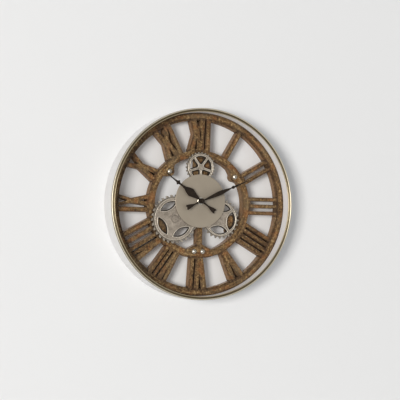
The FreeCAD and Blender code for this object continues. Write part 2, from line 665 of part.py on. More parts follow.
def make_gear_rivets():
    """A rivet through the middle of each gear, with a flat boss where the disc leaves room."""
    solids = []
    for gear in (TOP_GEAR, LEFT_GEAR, RIGHT_GEAR):
        centre = gear_centre(gear)
        pin = cylinder(RIVET_RADIUS, DISC_BACK, DIAL_FRONT - FACE_GAP, centre)
        if gear["boss"]:
            pin = pin.fuse(cylinder(gear["boss"], DISC_BACK - BOSS_THICKNESS, DISC_BACK, centre))
        solids.append(pin)
    return Part.makeCompound(solids)


def make_centre_disc():
    return tube(DISC_RADIUS, STEM_RADIUS + FACE_GAP, DISC_FRONT, DISC_BACK, CENTRE)


def make_disc_spacer():
    return tube(SPACER_RADIUS, STEM_RADIUS + FACE_GAP, DISC_BACK, DIAL_FRONT, CENTRE)


def make_stem_washer():
    front = DISC_FRONT - WASHER["thickness"]
    return tube(WASHER["radius"], STEM_RADIUS + FACE_GAP, front, DISC_FRONT, CENTRE)


def make_stem_nut():
    back = DISC_FRONT - WASHER["thickness"]
    front = back - NUT["thickness"]
    corners = [clock_point(NUT["radius"], 360 / NUT_SIDES * k, CENTRE) for k in range(NUT_SIDES)]
    nut = polygon(corners, front, back)
    return nut.cut(cylinder(STEM_RADIUS + SCREW_FIT, front - OVERRUN, back + OVERRUN, CENTRE))


def make_wall_bumpers():
    middle = DIAL_RADIUS + DIAL_PLAY - FLANGE_WIDTH / 2
    places = [clock_point(middle, angle) for angle in (BUMPER_ANGLE, -BUMPER_ANGLE)]
    pads = [cylinder(BUMPER_RADIUS, DIAL_BACK + RIM_SHEET, RIM_FRONT + RIM_DEPTH, p) for p in places]
    return Part.makeCompound(pads)


def make_hanger_plate():
    """A pressed plate: a raised middle with a keyhole, and a foot on the rim's flange each side."""
    back = RIM_FRONT + RIM_DEPTH - HANGER["wall_gap"]
    front = back - HANGER["sheet"]
    foot_front = DIAL_BACK + RIM_SHEET
    half, sheet = HANGER["half_width"], HANGER["sheet"]
    far = half + HANGER["foot"]
    foot_half = HANGER["foot"] / 2
    foot_middle = hanger_rivet_points()[1][1]
    foot_bottom, foot_top = foot_middle - foot_half, foot_middle + foot_half
    entry_z = foot_middle - KEYHOLE["entry_drop"]
    slot_z = foot_middle - KEYHOLE["slot_drop"]
    raised = box(-half, half, front, back, foot_middle - HANGER["below_feet"],
                 foot_middle + HANGER["above_feet"])
    pieces = [raised]
    for left, right, leg in ((-far, -half, -half), (half, far, half - sheet)):
        pieces.append(box(left, right, foot_front, foot_front + sheet, foot_bottom, foot_top))
        pieces.append(box(leg, leg + sheet, foot_front, back, foot_bottom, foot_top))
    plate = fused(pieces)
    entry = cylinder(KEYHOLE["entry"], front - OVERRUN, back + OVERRUN, (0, entry_z))
    end = cylinder(KEYHOLE["slot"], front - OVERRUN, back + OVERRUN, (0, slot_z))
    slot = box(-KEYHOLE["slot"], KEYHOLE["slot"], front - OVERRUN, back + OVERRUN, entry_z, slot_z)
    holes = [cylinder(HANGER_RIVET["shank"] + SCREW_FIT, foot_front - OVERRUN, back + OVERRUN, point)
             for point in hanger_rivet_points()]
    return plate.cut([entry, end, slot] + holes)


def make_hanger_rivets():
    """Each rivet has a head in a recess of the wood and one on the plate's foot."""
    foot_back = DIAL_BACK + RIM_SHEET + HANGER["sheet"]
    height = HANGER_RIVET["head_height"]
    solids = []
    for point in hanger_rivet_points():
        front_head = cylinder(HANGER_RIVET["head"], DIAL_BACK - height, DIAL_BACK, point)
        shank = cylinder(HANGER_RIVET["shank"], DIAL_BACK - height / 2, foot_back + height / 2, point)
        back_head = cylinder(HANGER_RIVET["head"], foot_back, foot_back + height, point)
        solids.append(fused([front_head, shank, back_head]))
    return Part.makeCompound(solids)


def layer(number):
    """The front plane of a layer of the train, counted from the case's front plate."""
    return CASE_INSIDE + LAYER_CLEARANCE + LAYER_STEP * number


def pitch_radius(module, teeth):
    return module * teeth / 2


def train_gear(module, teeth, front, back, centre, phase):
    """A thin-toothed gear with its pitch radius m z / 2; phase is a tooth's clock angle."""
    pitch = pitch_radius(module, teeth)
    root, tip = pitch - DEDENDUM_SHARE * module, pitch + ADDENDUM_SHARE * module
    gear = polygon(toothed_outline(teeth, root, tip, TRAIN_TOOTH_SHARES), front, back)
    return moved(turned(gear, phase), centre)


def pinion(module, teeth, number, wheel_number, centre, phase):
    """A pinion in one layer that reaches to its own wheel in the next."""
    back = layer(wheel_number) if wheel_number > number else layer(number) + WHEEL_THICKNESS
    front = layer(number) - PINION_OVERLAP
    return train_gear(module, teeth, front, back + PINION_OVERLAP, centre, phase)


def wheel(module, teeth, number, centre, phase):
    return train_gear(module, teeth, layer(number), layer(number) + WHEEL_THICKNESS, centre, phase)


MOTION_DISTANCE = pitch_radius(MOTION_MODULE, CANNON_TEETH + MOTION_TEETH)
THIRD_DISTANCE = pitch_radius(MINUTE_MODULE, MINUTE_TEETH + THIRD_PINION_TEETH)
FIFTH_DISTANCE = pitch_radius(FIFTH_MODULE, SECOND_TEETH + FIFTH_PINION_TEETH)
ROTOR_DISTANCE = pitch_radius(ROTOR_MODULE, FIFTH_TEETH + ROTOR_PINION_TEETH)
MOTION_AXIS = clock_point(MOTION_DISTANCE, THREE_OCLOCK, CENTRE)
THIRD_AXIS = clock_point(THIRD_DISTANCE, NINE_OCLOCK, CENTRE)
FIFTH_AXIS = clock_point(FIFTH_DISTANCE, TWELVE_OCLOCK, CENTRE)
ROTOR_AXIS = clock_point(ROTOR_DISTANCE, TWELVE_OCLOCK, FIFTH_AXIS)
KNOB_AXIS = clock_point(MOTION_DISTANCE, KNOB["angle"], MOTION_AXIS)


def half_pitch(teeth):
    return 360 / teeth / 2


def arbor(front, back, centre):
    return cylinder(ARBOR_RADIUS, front, back, centre)


def plate_arbor(centre):
    """An arbor from its hole in the case's front plate to its hole in the back cover."""
    return arbor(CASE_INSIDE - PIVOT_DEPTH + FACE_GAP, COVER_BACK - 2 * FACE_GAP, centre)


def make_minute_wheel():
    """The minute arbor with its cannon pinion and wheel, hollow behind for the second arbor."""
    front = MINUTE_HAND_BACK - HAND_THICKNESS - ARBOR_END
    shaft = cylinder(MINUTE_ARBOR_RADIUS, front, layer(MINUTE_LAYER), CENTRE)
    cannon = pinion(MOTION_MODULE, CANNON_TEETH, MOTION_LAYER, MINUTE_LAYER, CENTRE, THREE_OCLOCK)
    gear = wheel(MINUTE_MODULE, MINUTE_TEETH, MINUTE_LAYER, CENTRE, NINE_OCLOCK)
    body = fused([shaft, cannon, gear])
    recess_front = layer(MINUTE_LAYER) - PIVOT_DEPTH
    recess = cylinder(ARBOR_RADIUS + RUNNING_FIT, recess_front, layer(THIRD_LAYER), CENTRE)
    return body.cut(recess)


def make_hour_wheel():
    """The hour wheel on its tube, which turns in the stem and around the minute arbor."""
    front = HOUR_HAND_BACK - HAND_THICKNESS - LAYER_CLEARANCE
    sleeve = cylinder(HOUR_TUBE_RADIUS, front, layer(HOUR_LAYER), CENTRE)
    gear = wheel(HOUR_MODULE, HOUR_TEETH, HOUR_LAYER, CENTRE, THREE_OCLOCK)
    bore = cylinder(HOUR_TUBE_BORE_RADIUS, front - OVERRUN, layer(MOTION_LAYER), CENTRE)
    return fused([sleeve, gear]).cut(bore)


def make_motion_wheel():
    """The motion wheel and its pinion, which ride on a stud of the case."""
    phase = NINE_OCLOCK + half_pitch(MOTION_PINION_TEETH)
    small = pinion(HOUR_MODULE, MOTION_PINION_TEETH, HOUR_LAYER, MOTION_LAYER, MOTION_AXIS, phase)
    phase = NINE_OCLOCK + half_pitch(MOTION_TEETH)
    gear = wheel(MOTION_MODULE, MOTION_TEETH, MOTION_LAYER, MOTION_AXIS, phase)
    bore = cylinder(STUD_RADIUS + RUNNING_FIT, layer(HOUR_LAYER) - OVERRUN, layer(MINUTE_LAYER), MOTION_AXIS)
    return fused([small, gear]).cut(bore)


def make_third_wheel():
    phase = THREE_OCLOCK + half_pitch(THIRD_PINION_TEETH)
    small = pinion(MINUTE_MODULE, THIRD_PINION_TEETH, MINUTE_LAYER, THIRD_LAYER, THIRD_AXIS, phase)
    gear = wheel(SECOND_MODULE, THIRD_TEETH, THIRD_LAYER, THIRD_AXIS, THREE_OCLOCK)
    return fused([plate_arbor(THIRD_AXIS), small, gear])


def make_second_wheel():
    phase = NINE_OCLOCK + half_pitch(SECOND_PINION_TEETH)
    small = pinion(SECOND_MODULE, SECOND_PINION_TEETH, THIRD_LAYER, SECOND_LAYER, CENTRE, phase)
    gear = wheel(FIFTH_MODULE, SECOND_TEETH, SECOND_LAYER, CENTRE, TWELVE_OCLOCK)
    front = layer(MINUTE_LAYER) - PIVOT_DEPTH + FACE_GAP
    return fused([arbor(front, COVER_BACK - 2 * FACE_GAP, CENTRE), small, gear])


def make_fifth_wheel():
    phase = SIX_OCLOCK + half_pitch(FIFTH_PINION_TEETH)
    small = pinion(FIFTH_MODULE, FIFTH_PINION_TEETH, SECOND_LAYER, FIFTH_LAYER, FIFTH_AXIS, phase)
    gear = wheel(ROTOR_MODULE, FIFTH_TEETH, FIFTH_LAYER, FIFTH_AXIS, TWELVE_OCLOCK)
    return fused([plate_arbor(FIFTH_AXIS), small, gear])


def make_rotor():
    phase = SIX_OCLOCK + half_pitch(ROTOR_PINION_TEETH)
    small = pinion(ROTOR_MODULE, ROTOR_PINION_TEETH, FIFTH_LAYER, ROTOR_LAYER, ROTOR_AXIS, phase)
    front = layer(ROTOR_LAYER)
    magnet = cylinder(MAGNET["radius"], front, front + MAGNET["thickness"], ROTOR_AXIS)
    return fused([plate_arbor(ROTOR_AXIS), small, magnet])


def make_setting_knob():
    """The knob sunk in the back cover, its stem and the pinion that turns the motion wheel."""
    knob_back = COVER_BACK - KNOB_SINK
    knob_front = knob_back - KNOB["thickness"]
    head = cylinder(KNOB["radius"], knob_front, knob_back, KNOB_AXIS)
    stem = cylinder(KNOB["hub"], layer(MOTION_LAYER) + WHEEL_THICKNESS, knob_front, KNOB_AXIS)
    gear_phase = NINE_OCLOCK + half_pitch(MOTION_TEETH)
    pitch = 360 / MOTION_TEETH
    lead = (KNOB["angle"] - gear_phase) % pitch / pitch
    phase = KNOB["angle"] + SIX_OCLOCK + (1 + 2 * lead) * half_pitch(CANNON_TEETH)
    small = pinion(MOTION_MODULE, CANNON_TEETH, MOTION_LAYER, MOTION_LAYER, KNOB_AXIS, phase)
    pivot = arbor(CASE_INSIDE - PIVOT_DEPTH + FACE_GAP, layer(MOTION_LAYER), KNOB_AXIS)
    return fused([head, stem, small, pivot])


def case_box(front, back, margin):
    half = HALF_SIDE - margin
    return box(-half, half, front, back, AXIS_HEIGHT - half, AXIS_HEIGHT + half)


def post_places():
    side = STATOR["half_width"] - POST_RADIUS
    height = AXIS_HEIGHT + (STATOR["bottom"] + STATOR["yoke"]) / 2
    return [(-side, height), (side, height)]


def board_middle():
    return ((BOARD["left"] + BOARD["right"]) / 2, AXIS_HEIGHT + (BOARD["bottom"] + BOARD["top"]) / 2)


def stator_front():
    return layer(ROTOR_LAYER) + (MAGNET["thickness"] - STATOR["sheet"]) / 2


def board_front():
    return stator_front() - 2 * BOARD["thickness"]


def make_movement_front_case():
    """The case's front and walls, its threaded stem, its battery wall, posts and stud."""
    shell = case_box(CASE_FRONT, COVER_FRONT, 0).cut(case_box(CASE_INSIDE, COVER_BACK, CASE_WALL))
    wall_top = SEPARATOR_BOTTOM + CASE_WALL
    wall = box(-HALF_SIDE, HALF_SIDE, CASE_FRONT, COVER_FRONT, SEPARATOR_BOTTOM, wall_top)
    stem = cylinder(STEM_RADIUS, STEM_END, CASE_INSIDE, CENTRE)
    posts = [cylinder(POST_RADIUS, CASE_FRONT, stator_front(), place) for place in post_places()]
    posts.append(cylinder(POST_RADIUS, CASE_FRONT, board_front(), board_middle()))
    stud_end = layer(MOTION_LAYER) + WHEEL_THICKNESS + LAYER_CLEARANCE
    posts.append(cylinder(STUD_RADIUS, CASE_FRONT, stud_end, MOTION_AXIS))
    body = fused([shell, wall, stem] + posts)
    holes = [cylinder(STEM_BORE_RADIUS, STEM_END - OVERRUN, CASE_INSIDE + OVERRUN, CENTRE)]
    pivot = ARBOR_RADIUS + RUNNING_FIT
    holes += [cylinder(pivot, CASE_INSIDE - PIVOT_DEPTH, CASE_INSIDE + OVERRUN, axis)
              for axis in (THIRD_AXIS, FIFTH_AXIS, ROTOR_AXIS, KNOB_AXIS)]
    return body.cut(holes)


def make_movement_back_cover():
    """The cover over the train, with its pivot holes and a dished seat for the setting knob."""
    top = AXIS_HEIGHT + HALF_SIDE
    plate = box(-HALF_SIDE, HALF_SIDE, COVER_FRONT, COVER_BACK, SEPARATOR_BOTTOM, top)
    seat_back = COVER_BACK - KNOB_SINK - KNOB["thickness"] - 2 * FACE_GAP
    seat_front = seat_back - KNOB["wall"]
    cup = cylinder(KNOB["recess"] + KNOB["wall"], seat_front, COVER_BACK, KNOB_AXIS)
    hollow = cylinder(KNOB["recess"], seat_back, COVER_BACK + OVERRUN, KNOB_AXIS)
    stem_hole = cylinder(KNOB["hub"] + RUNNING_FIT, seat_front - OVERRUN, seat_back + OVERRUN, KNOB_AXIS)
    pivot = ARBOR_RADIUS + RUNNING_FIT
    pivots = [cylinder(pivot, COVER_FRONT - OVERRUN, COVER_BACK + OVERRUN, axis)
              for axis in (CENTRE, THIRD_AXIS, FIFTH_AXIS, ROTOR_AXIS)]
    return fused([plate, cup]).cut([hollow, stem_hole] + pivots)


def along_x(radius, left, right, depth, height):
    return Part.makeCylinder(radius, right - left, vector(left, depth, height), vector(1, 0, 0))


def make_battery():
    half = BATTERY["length"] / 2
    shoulder = half - BATTERY["button_height"]
    can = along_x(BATTERY["radius"], -half, shoulder, BATTERY_Y, BATTERY_Z)
    return can.fuse(along_x(BATTERY["button"], shoulder, half, BATTERY_Y, BATTERY_Z))


def contact(side):
    """A spring sheet on the end wall of the battery bay, pressed out towards the battery."""
    wall = HALF_SIDE - CASE_WALL - FACE_GAP
    sheet = wall - CONTACT_SHEET
    reach = BATTERY["length"] / 2 + FACE_GAP
    half = BATTERY["radius"] - 2 * CONTACT_SHEET
    plate = box(sheet, wall, BATTERY_Y - half, BATTERY_Y + half, BATTERY_Z - half, BATTERY_Z + half)
    bump = along_x(BATTERY["button"], reach, wall, BATTERY_Y, BATTERY_Z)
    piece = plate.fuse(bump).removeSplitter()
    return piece if side > 0 else piece.mirror(vector(0, 0, 0), vector(1, 0, 0))


def make_stator():
    """A flat iron loop: a yoke with the rotor's hole, two legs and a bar through the coil."""
    front = stator_front()
    back = front + STATOR["sheet"]
    half, leg = STATOR["half_width"], STATOR["leg"]
    z = AXIS_HEIGHT
    loop = box(-half, half, front, back, z + STATOR["bottom"], z + STATOR["top"])
    window = box(leg - half, half - leg, front - OVERRUN, back + OVERRUN, z + STATOR["yoke"],
                 z + STATOR["bar"])
    return loop.cut([window, cylinder(MAGNET["hole"], front - OVERRUN, back + OVERRUN, ROTOR_AXIS)])


def make_coil():
    """The winding around the stator's bar."""
    play = COIL["play"]
    front = stator_front()
    back = front + STATOR["sheet"]
    bar_bottom, bar_top = AXIS_HEIGHT + STATOR["bar"], AXIS_HEIGHT + STATOR["top"]
    half = COIL["half_length"]
    winding = along_x(COIL["radius"], -half, half, (front + back) / 2, (bar_bottom + bar_top) / 2)
    return winding.cut(box(-half - OVERRUN, half + OVERRUN, front - play, back + play,
                           bar_bottom - play, bar_top + play))


def make_circuit_board():
    front = board_front()
    return box(BOARD["left"], BOARD["right"], front, front + BOARD["thickness"],
               AXIS_HEIGHT + BOARD["bottom"], AXIS_HEIGHT + BOARD["top"])


def make_quartz_crystal():
    middle = board_middle()
    half = CRYSTAL["length"] / 2
    depth = board_front() + BOARD["thickness"] + CRYSTAL["radius"] + FACE_GAP
    return along_x(CRYSTAL["radius"], middle[0] - half, middle[0] + half, depth, middle[1])


def hand_side(width, length, shares, sign, sense):
    """One side of a hand: half widths u = sign w/2 share, distances v = sense l share."""
    steps = []
    for step in shares:
        pairs = zip(step[0::2], step[1::2])
        steps.append(tuple(value for u, v in pairs
                           for value in (sign * width / 2 * u, sense * length * v)))
    return steps


def backwards(start, steps):
    """The same path walked the other way: its steps from its end back to its start."""
    ends = [start] + [step[-2:] for step in steps]
    back = [steps[k][:-2] + ends[k] for k in range(len(steps) - 1, -1, -1)]
    return ends[-1], back


def hand_blade(width, length, shares, sense, front, back):
    """A blade that is the same on both sides, from the hub's middle to its tip."""
    right = hand_side(width, length, shares, 1, sense)
    left = hand_side(width, length, shares, -1, sense)
    tip, homeward = backwards((0, 0), left)
    return prism((0, 0), right + [tip] + homeward, front, back)


def make_hand(size, shares, hand_back, bore):
    front = hand_back - HAND_THICKNESS
    blade = hand_blade(size["width"], size["tip"], shares, 1, front, hand_back)
    tail = hand_blade(TAIL_WIDTH, size["tail"], TAIL_SHARES, -1, front, hand_back)
    hub = cylinder(HAND_HUB_RADIUS, front, hand_back)
    hole = cylinder(bore + HAND_FIT, front - OVERRUN, hand_back + OVERRUN)
    hand = fused([hub, blade, tail]).cut(hole)
    return moved(turned(hand, size["angle"]), CENTRE)


def make_cap_nut():
    """The nut on the end of the minute arbor, closed by half a ball in front."""
    back = MINUTE_HAND_BACK - HAND_THICKNESS
    radius = CAP["radius"]
    middle = back - CAP["height"] + radius
    ball = Part.makeSphere(radius, vector(CENTRE[0], middle, CENTRE[1]))
    body = cylinder(radius, middle, back, CENTRE).fuse(ball).removeSplitter()
    end = back - ARBOR_END - FACE_GAP
    nut = body.common(cylinder(2 * radius, back - 2 * CAP["height"], back, CENTRE))
    return nut.cut(cylinder(MINUTE_ARBOR_RADIUS + HAND_FIT, end, back + OVERRUN, CENTRE))


def all_nodes():
    """Every node by name."""
    nodes = {
        "rim": make_rim(),
        "dial_screws": make_dial_screws(),
        "outer_wood_ring": make_outer_wood_ring(),
        "inner_wood_ring": make_inner_wood_ring(),
        "domed_screws": make_domed_screws(),
        "top_gear_face": make_gear_face(TOP_GEAR),
        "top_gear_wheel": make_gear_wheel(TOP_GEAR, ROUND_TOOTH_SHARES),
        "left_gear_face": make_gear_face(LEFT_GEAR),
        "left_gear_wheel": make_gear_wheel(LEFT_GEAR, FIN_TOOTH_SHARES),
        "right_gear_face": make_gear_face(RIGHT_GEAR),
        "right_gear_wheel": make_gear_wheel(RIGHT_GEAR, CUT_TOOTH_SHARES),
        "gear_rivets": make_gear_rivets(),
        "gear_screws": make_gear_screws(),
        "centre_disc": make_centre_disc(),
        "disc_spacer": make_disc_spacer(),
        "stem_washer": make_stem_washer(),
        "stem_nut": make_stem_nut(),
        "hanger_plate": make_hanger_plate(),
        "hanger_rivets": make_hanger_rivets(),
        "wall_bumpers": make_wall_bumpers(),
        "movement_front_case": make_movement_front_case(),
        "movement_back_cover": make_movement_back_cover(),
        "battery": make_battery(),
        "battery_contact_positive": contact(1),
        "battery_contact_negative": contact(-1),
        "circuit_board": make_circuit_board(),
        "quartz_crystal": make_quartz_crystal(),
        "motor_stator": make_stator(),
        "motor_coil": make_coil(),
        "motor_rotor": make_rotor(),
        "fifth_wheel": make_fifth_wheel(),
        "second_wheel": make_second_wheel(),
        "third_wheel": make_third_wheel(),
        "minute_wheel": make_minute_wheel(),
        "motion_wheel": make_motion_wheel(),
        "hour_wheel": make_hour_wheel(),
        "setting_knob": make_setting_knob(),
        "hour_hand": make_hand(HOUR_HAND, HOUR_HAND_SHARES, HOUR_HAND_BACK, HOUR_TUBE_RADIUS),
        "minute_hand": make_hand(MINUTE_HAND, MINUTE_HAND_SHARES, MINUTE_HAND_BACK, MINUTE_ARBOR_RADIUS),
        "cap_nut": make_cap_nut(),
    }
    for hour in NUMERAL_SHARES:
        nodes[f"numeral_{hour:02d}"] = make_numeral(hour)
    return nodes


def main():
    os.makedirs("parts", exist_ok=True)
    for name, shape in all_nodes().items():
        shape.exportStep(os.path.join("parts", name + ".step"))
        print(name, "solids", len(shape.Solids), "valid", shape.isValid(), "volume", round(shape.Volume, 1))


main()
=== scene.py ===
# %% [markdown]
# # A gear clock for the wall
# This lesson dresses a finished CAD model of a wall clock in Blender. The clock has a polished
# metal rim, an openwork wooden dial with roman numerals, three silver gears behind a plain disc,
# and two dark hands. The CAD model gives every shape its place. The lesson adds what a solid model
# lacks: rounded edges, fine relief, finishes and light. Lengths are in metres. X points right, Y
# into the wall, Z up.

# %% Load the frame
import json
import math

import bmesh
import bpy
import numpy as np
from mathutils import Matrix, Vector


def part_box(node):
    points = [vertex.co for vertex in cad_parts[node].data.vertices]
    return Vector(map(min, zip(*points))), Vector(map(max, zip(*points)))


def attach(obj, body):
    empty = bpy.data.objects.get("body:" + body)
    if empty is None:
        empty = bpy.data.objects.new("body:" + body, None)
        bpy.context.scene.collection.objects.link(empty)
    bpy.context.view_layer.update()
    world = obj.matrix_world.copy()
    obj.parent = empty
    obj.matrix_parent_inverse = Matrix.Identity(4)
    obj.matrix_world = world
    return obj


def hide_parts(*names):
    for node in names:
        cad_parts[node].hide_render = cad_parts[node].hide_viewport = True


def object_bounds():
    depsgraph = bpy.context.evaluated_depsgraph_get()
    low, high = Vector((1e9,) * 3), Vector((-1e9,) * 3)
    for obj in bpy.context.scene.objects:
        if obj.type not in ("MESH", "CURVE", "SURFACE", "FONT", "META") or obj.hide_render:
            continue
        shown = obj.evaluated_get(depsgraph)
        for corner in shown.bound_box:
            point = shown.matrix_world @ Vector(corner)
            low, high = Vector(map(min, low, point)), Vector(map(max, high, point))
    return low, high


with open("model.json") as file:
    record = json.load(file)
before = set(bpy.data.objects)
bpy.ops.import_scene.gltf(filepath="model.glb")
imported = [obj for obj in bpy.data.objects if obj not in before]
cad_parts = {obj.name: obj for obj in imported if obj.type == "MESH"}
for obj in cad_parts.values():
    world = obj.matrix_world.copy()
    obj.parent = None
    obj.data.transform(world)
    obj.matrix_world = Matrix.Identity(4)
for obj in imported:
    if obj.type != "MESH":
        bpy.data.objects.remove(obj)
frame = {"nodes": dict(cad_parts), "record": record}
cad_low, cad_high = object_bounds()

nodes = frame["nodes"]
body_of_node = {node: body for body, names in frame["record"]["behaviour"]["bodies"].items()
                for node in names}

# %% [markdown]
# ## The camera
# A photograph of a round rim tells where the camera stood: the front edge and the wall edge are two
# ellipses, and only one place sees both as they are. That place, 2.5 metres off, to the left and a
# little low, was worked out beforehand. The clock in the photograph hangs about one degree askew,
# and the model hangs straight, so the camera leans by that degree instead.

# %% Camera
CAMERA_PLACE = Vector((-0.88105, -2.38720, -0.07190))
CAMERA_AIM = Vector((-0.00770, -0.04600, 0.00680))
CAMERA_LEAN = math.radians(1.24)
FOCAL_LENGTH_MM = 125.56
SENSOR_WIDTH_MM = 36.0


def add_object(name, data):
    """A new object of the scene that shows the data."""
    thing = bpy.data.objects.new(name, data)
    bpy.context.scene.collection.objects.link(thing)
    return thing


camera = add_object("camera", bpy.data.cameras.new("camera"))
camera.data.lens = FOCAL_LENGTH_MM
camera.data.sensor_width = SENSOR_WIDTH_MM
forward = (CAMERA_AIM - CAMERA_PLACE).normalized()
leaning_up = Vector((-math.sin(CAMERA_LEAN), 0, math.cos(CAMERA_LEAN)))
rightward = forward.cross(leaning_up).normalized()
upward = rightward.cross(forward)
camera.matrix_world = Matrix.Translation(CAMERA_PLACE) @ Matrix(
    (rightward, upward, -forward)).transposed().to_4x4()
bpy.context.scene.camera = camera
bpy.context.scene.view_settings.view_transform = "Standard"
print("camera stands", round((CAMERA_AIM - CAMERA_PLACE).length, 3), "m away")

# %% [markdown]
# ## The wall, the floor and the light
# The clock hangs on a plain pale wall, and its shadow falls to the right. A wall would hide the
# clock from behind, so its paint is clear on its back side, and it throws no shadow of its own. The
# light is a soft box far off to the left, about level with the clock. It stands about 40 degrees
# off the wall's normal: the rim is 46 mm deep, and a steeper or flatter light would make its shadow
# too narrow or too wide. Being far away, it lights the wall evenly. A pale world around it fills
# the rest.

# %% Wall and floor
WALL_HALF = 2.2
WALL_CLEARANCE = 0.0004
FLOOR_DROP = 1.4
WALL_COLOUR = (0.80, 0.80, 0.80, 1)
PAINT_ROUGHNESS = 0.9
PAINT_SPECULAR = 0.1


def flat_sheet(name, corners):
    """A single face through four corners, in metres."""
    mesh = bpy.data.meshes.new(name)
    mesh.from_pydata(corners, [], [(0, 1, 2, 3)])
    return add_object(name, mesh)


def pale_paint(name, colour):
    """Matt paint that is clear to the camera and to light where it is seen from its back."""
    material = bpy.data.materials.new(name)
    material.use_nodes = True
    tree = material.node_tree
    paint = tree.nodes["Principled BSDF"]
    paint.inputs["Base Color"].default_value = colour
    paint.inputs["Roughness"].default_value = PAINT_ROUGHNESS
    paint.inputs["Specular IOR Level"].default_value = PAINT_SPECULAR
    clear = tree.nodes.new("ShaderNodeBsdfTransparent")
    side = tree.nodes.new("ShaderNodeNewGeometry")
    mix = tree.nodes.new("ShaderNodeMixShader")
    tree.links.new(side.outputs["Backfacing"], mix.inputs["Fac"])
    tree.links.new(paint.outputs["BSDF"], mix.inputs[1])
    tree.links.new(clear.outputs["BSDF"], mix.inputs[2])
    tree.links.new(mix.outputs["Shader"], tree.nodes["Material Output"].inputs["Surface"])
    return material


wall = flat_sheet("wall", [(x, WALL_CLEARANCE, z) for x, z in
                           ((-WALL_HALF, -FLOOR_DROP), (WALL_HALF, -FLOOR_DROP),
                            (WALL_HALF, WALL_HALF), (-WALL_HALF, WALL_HALF))])
floor = flat_sheet("floor", [(x, y, -FLOOR_DROP) for x, y in
                             ((-WALL_HALF, -2 * WALL_HALF), (WALL_HALF, -2 * WALL_HALF),
                              (WALL_HALF, WALL_CLEARANCE), (-WALL_HALF, WALL_CLEARANCE))])
for sheet in (wall, floor):
    sheet.data.materials.append(pale_paint(sheet.name + "_paint", WALL_COLOUR))
    sheet.visible_shadow = False
print("wall faces", tuple(round(x, 1) for x in wall.data.polygons[0].normal))

# %% Lamps and world
KEY_LAMP = {"place": (-7.3, -8.6, 0.2), "size": 3.5, "watts": 930.0, "colour": (1.0, 0.985, 0.96)}
BACK_LAMP = {"place": (0.6, 1.9, 0.9), "size": 1.4, "watts": 20.0, "colour": (1.0, 1.0, 1.0)}
WORLD_STRENGTH = 0.45
WORLD_COLOUR = (0.97, 0.985, 1.0, 1)


def soft_box(name, lamp):
    """A square lamp that faces the clock's middle."""
    light = bpy.data.lights.new(name, "AREA")
    light.shape = "SQUARE"
    light.size = lamp["size"]
    light.energy = lamp["watts"]
    light.color = lamp["colour"]
    place = Vector(lamp["place"])
    aim = (-place).to_track_quat("-Z", "Y").to_matrix().to_4x4()
    add_object(name, light).matrix_world = Matrix.Translation(place) @ aim


soft_box("key_lamp", KEY_LAMP)
soft_box("back_lamp", BACK_LAMP)
world = bpy.data.worlds.new("studio")
world.use_nodes = True
world.node_tree.nodes["Background"].inputs["Color"].default_value = WORLD_COLOUR
world.node_tree.nodes["Background"].inputs["Strength"].default_value = WORLD_STRENGTH
bpy.context.scene.world = world
print("lamps:", KEY_LAMP["watts"], BACK_LAMP["watts"], "W, world", WORLD_STRENGTH)

# %% [markdown]
# ## Three ways to make a piece
# Most pieces of a clock are either turned on a lathe or cut from flat stock. A turned piece is a
# profile carried round an axis, so one grid of points describes it. A bead is a small circle
# carried along a path. A cut piece already has its outline in the CAD model, and only its
# knife-sharp edges give it away, so a copy of it gets eased edges, which catch the light as real
# ones do.

# %% Grid surface
MERGE_DISTANCE = 1e-6
SHARP_ANGLE = math.radians(40)


def grid_corners(rows, columns, wrap_columns):
    """The row, the column and the point number of each face's four corners, on a grid of points.

    Corner (i, j) makes a face with (i+1, j), (i+1, j+1) and (i, j+1), and point (i, j) has the
    number i times columns plus j. The last row always joins the first.
    """
    i, j = np.meshgrid(np.arange(rows), np.arange(columns if wrap_columns else columns - 1),
                       indexing="ij")
    corner_i = np.stack([i, i + 1, i + 1, i], -1)
    corner_j = np.stack([j, j, j + 1, j + 1], -1)
    faces = ((corner_i % rows) * columns + corner_j % columns).reshape(-1, 4)
    return corner_i, corner_j, faces


def grid_piece(name, points, wrap_columns=True, stripe=None):
    """A mesh through a grid of points, closed along its rows.

    Stripe is one value for each column, kept as the second coordinate of the UV map; the first is
    the share of the way round.
    """
    rows, columns = points.shape[:2]
    corner_i, corner_j, faces = grid_corners(rows, columns, wrap_columns)
    mesh = bpy.data.meshes.new(name)
    mesh.from_pydata(points.reshape(-1, 3), [], faces.tolist())
    if stripe is not None:
        across = np.append(stripe, stripe[0])[corner_j]
        around = corner_i / rows
        uv = mesh.uv_layers.new(name="around_and_across")
        uv.data.foreach_set("uv", np.stack([around, across], -1).astype(np.float32).ravel())
    return finish_mesh(name, mesh)


def finish_mesh(name, mesh):
    """Merges doubled points, turns faces outwards, and smooths all but the sharp edges."""
    bm = bmesh.new()
    bm.from_mesh(mesh)
    bmesh.ops.remove_doubles(bm, verts=bm.verts, dist=MERGE_DISTANCE)
    bmesh.ops.recalc_face_normals(bm, faces=bm.faces)
    bm.to_mesh(mesh)
    bm.free()
    mesh.shade_smooth()
    mesh.set_sharp_from_angle(angle=SHARP_ANGLE)
    return add_object(name, mesh)


print("faces on a closed grid of 8 by 4 points:", len(grid_corners(8, 4, True)[2]))

# %% Turned piece


def turned_points(profile, centre=(0, 0), segments=96):
    """Points of a turned surface: (x, y, z) = (cx + r sin t, y, cz + r cos t) for each (r, y)."""
    turn = np.linspace(0, 2 * np.pi, segments, endpoint=False)[:, None]
    radius, depth = np.asarray(profile, float).T
    x = centre[0] + radius * np.sin(turn)
    z = centre[1] + radius * np.cos(turn)
    return np.stack([x, np.broadcast_to(depth, x.shape), z], -1)


def arc_points(middle, radius, start, end, count):
    """Points (a + r cos t, b + r sin t) of an arc in a profile, with t going to end, in degrees."""
    turn = np.radians(np.linspace(start, end, count))
    return np.stack([middle[0] + radius * np.cos(turn), middle[1] + radius * np.sin(turn)], -1)


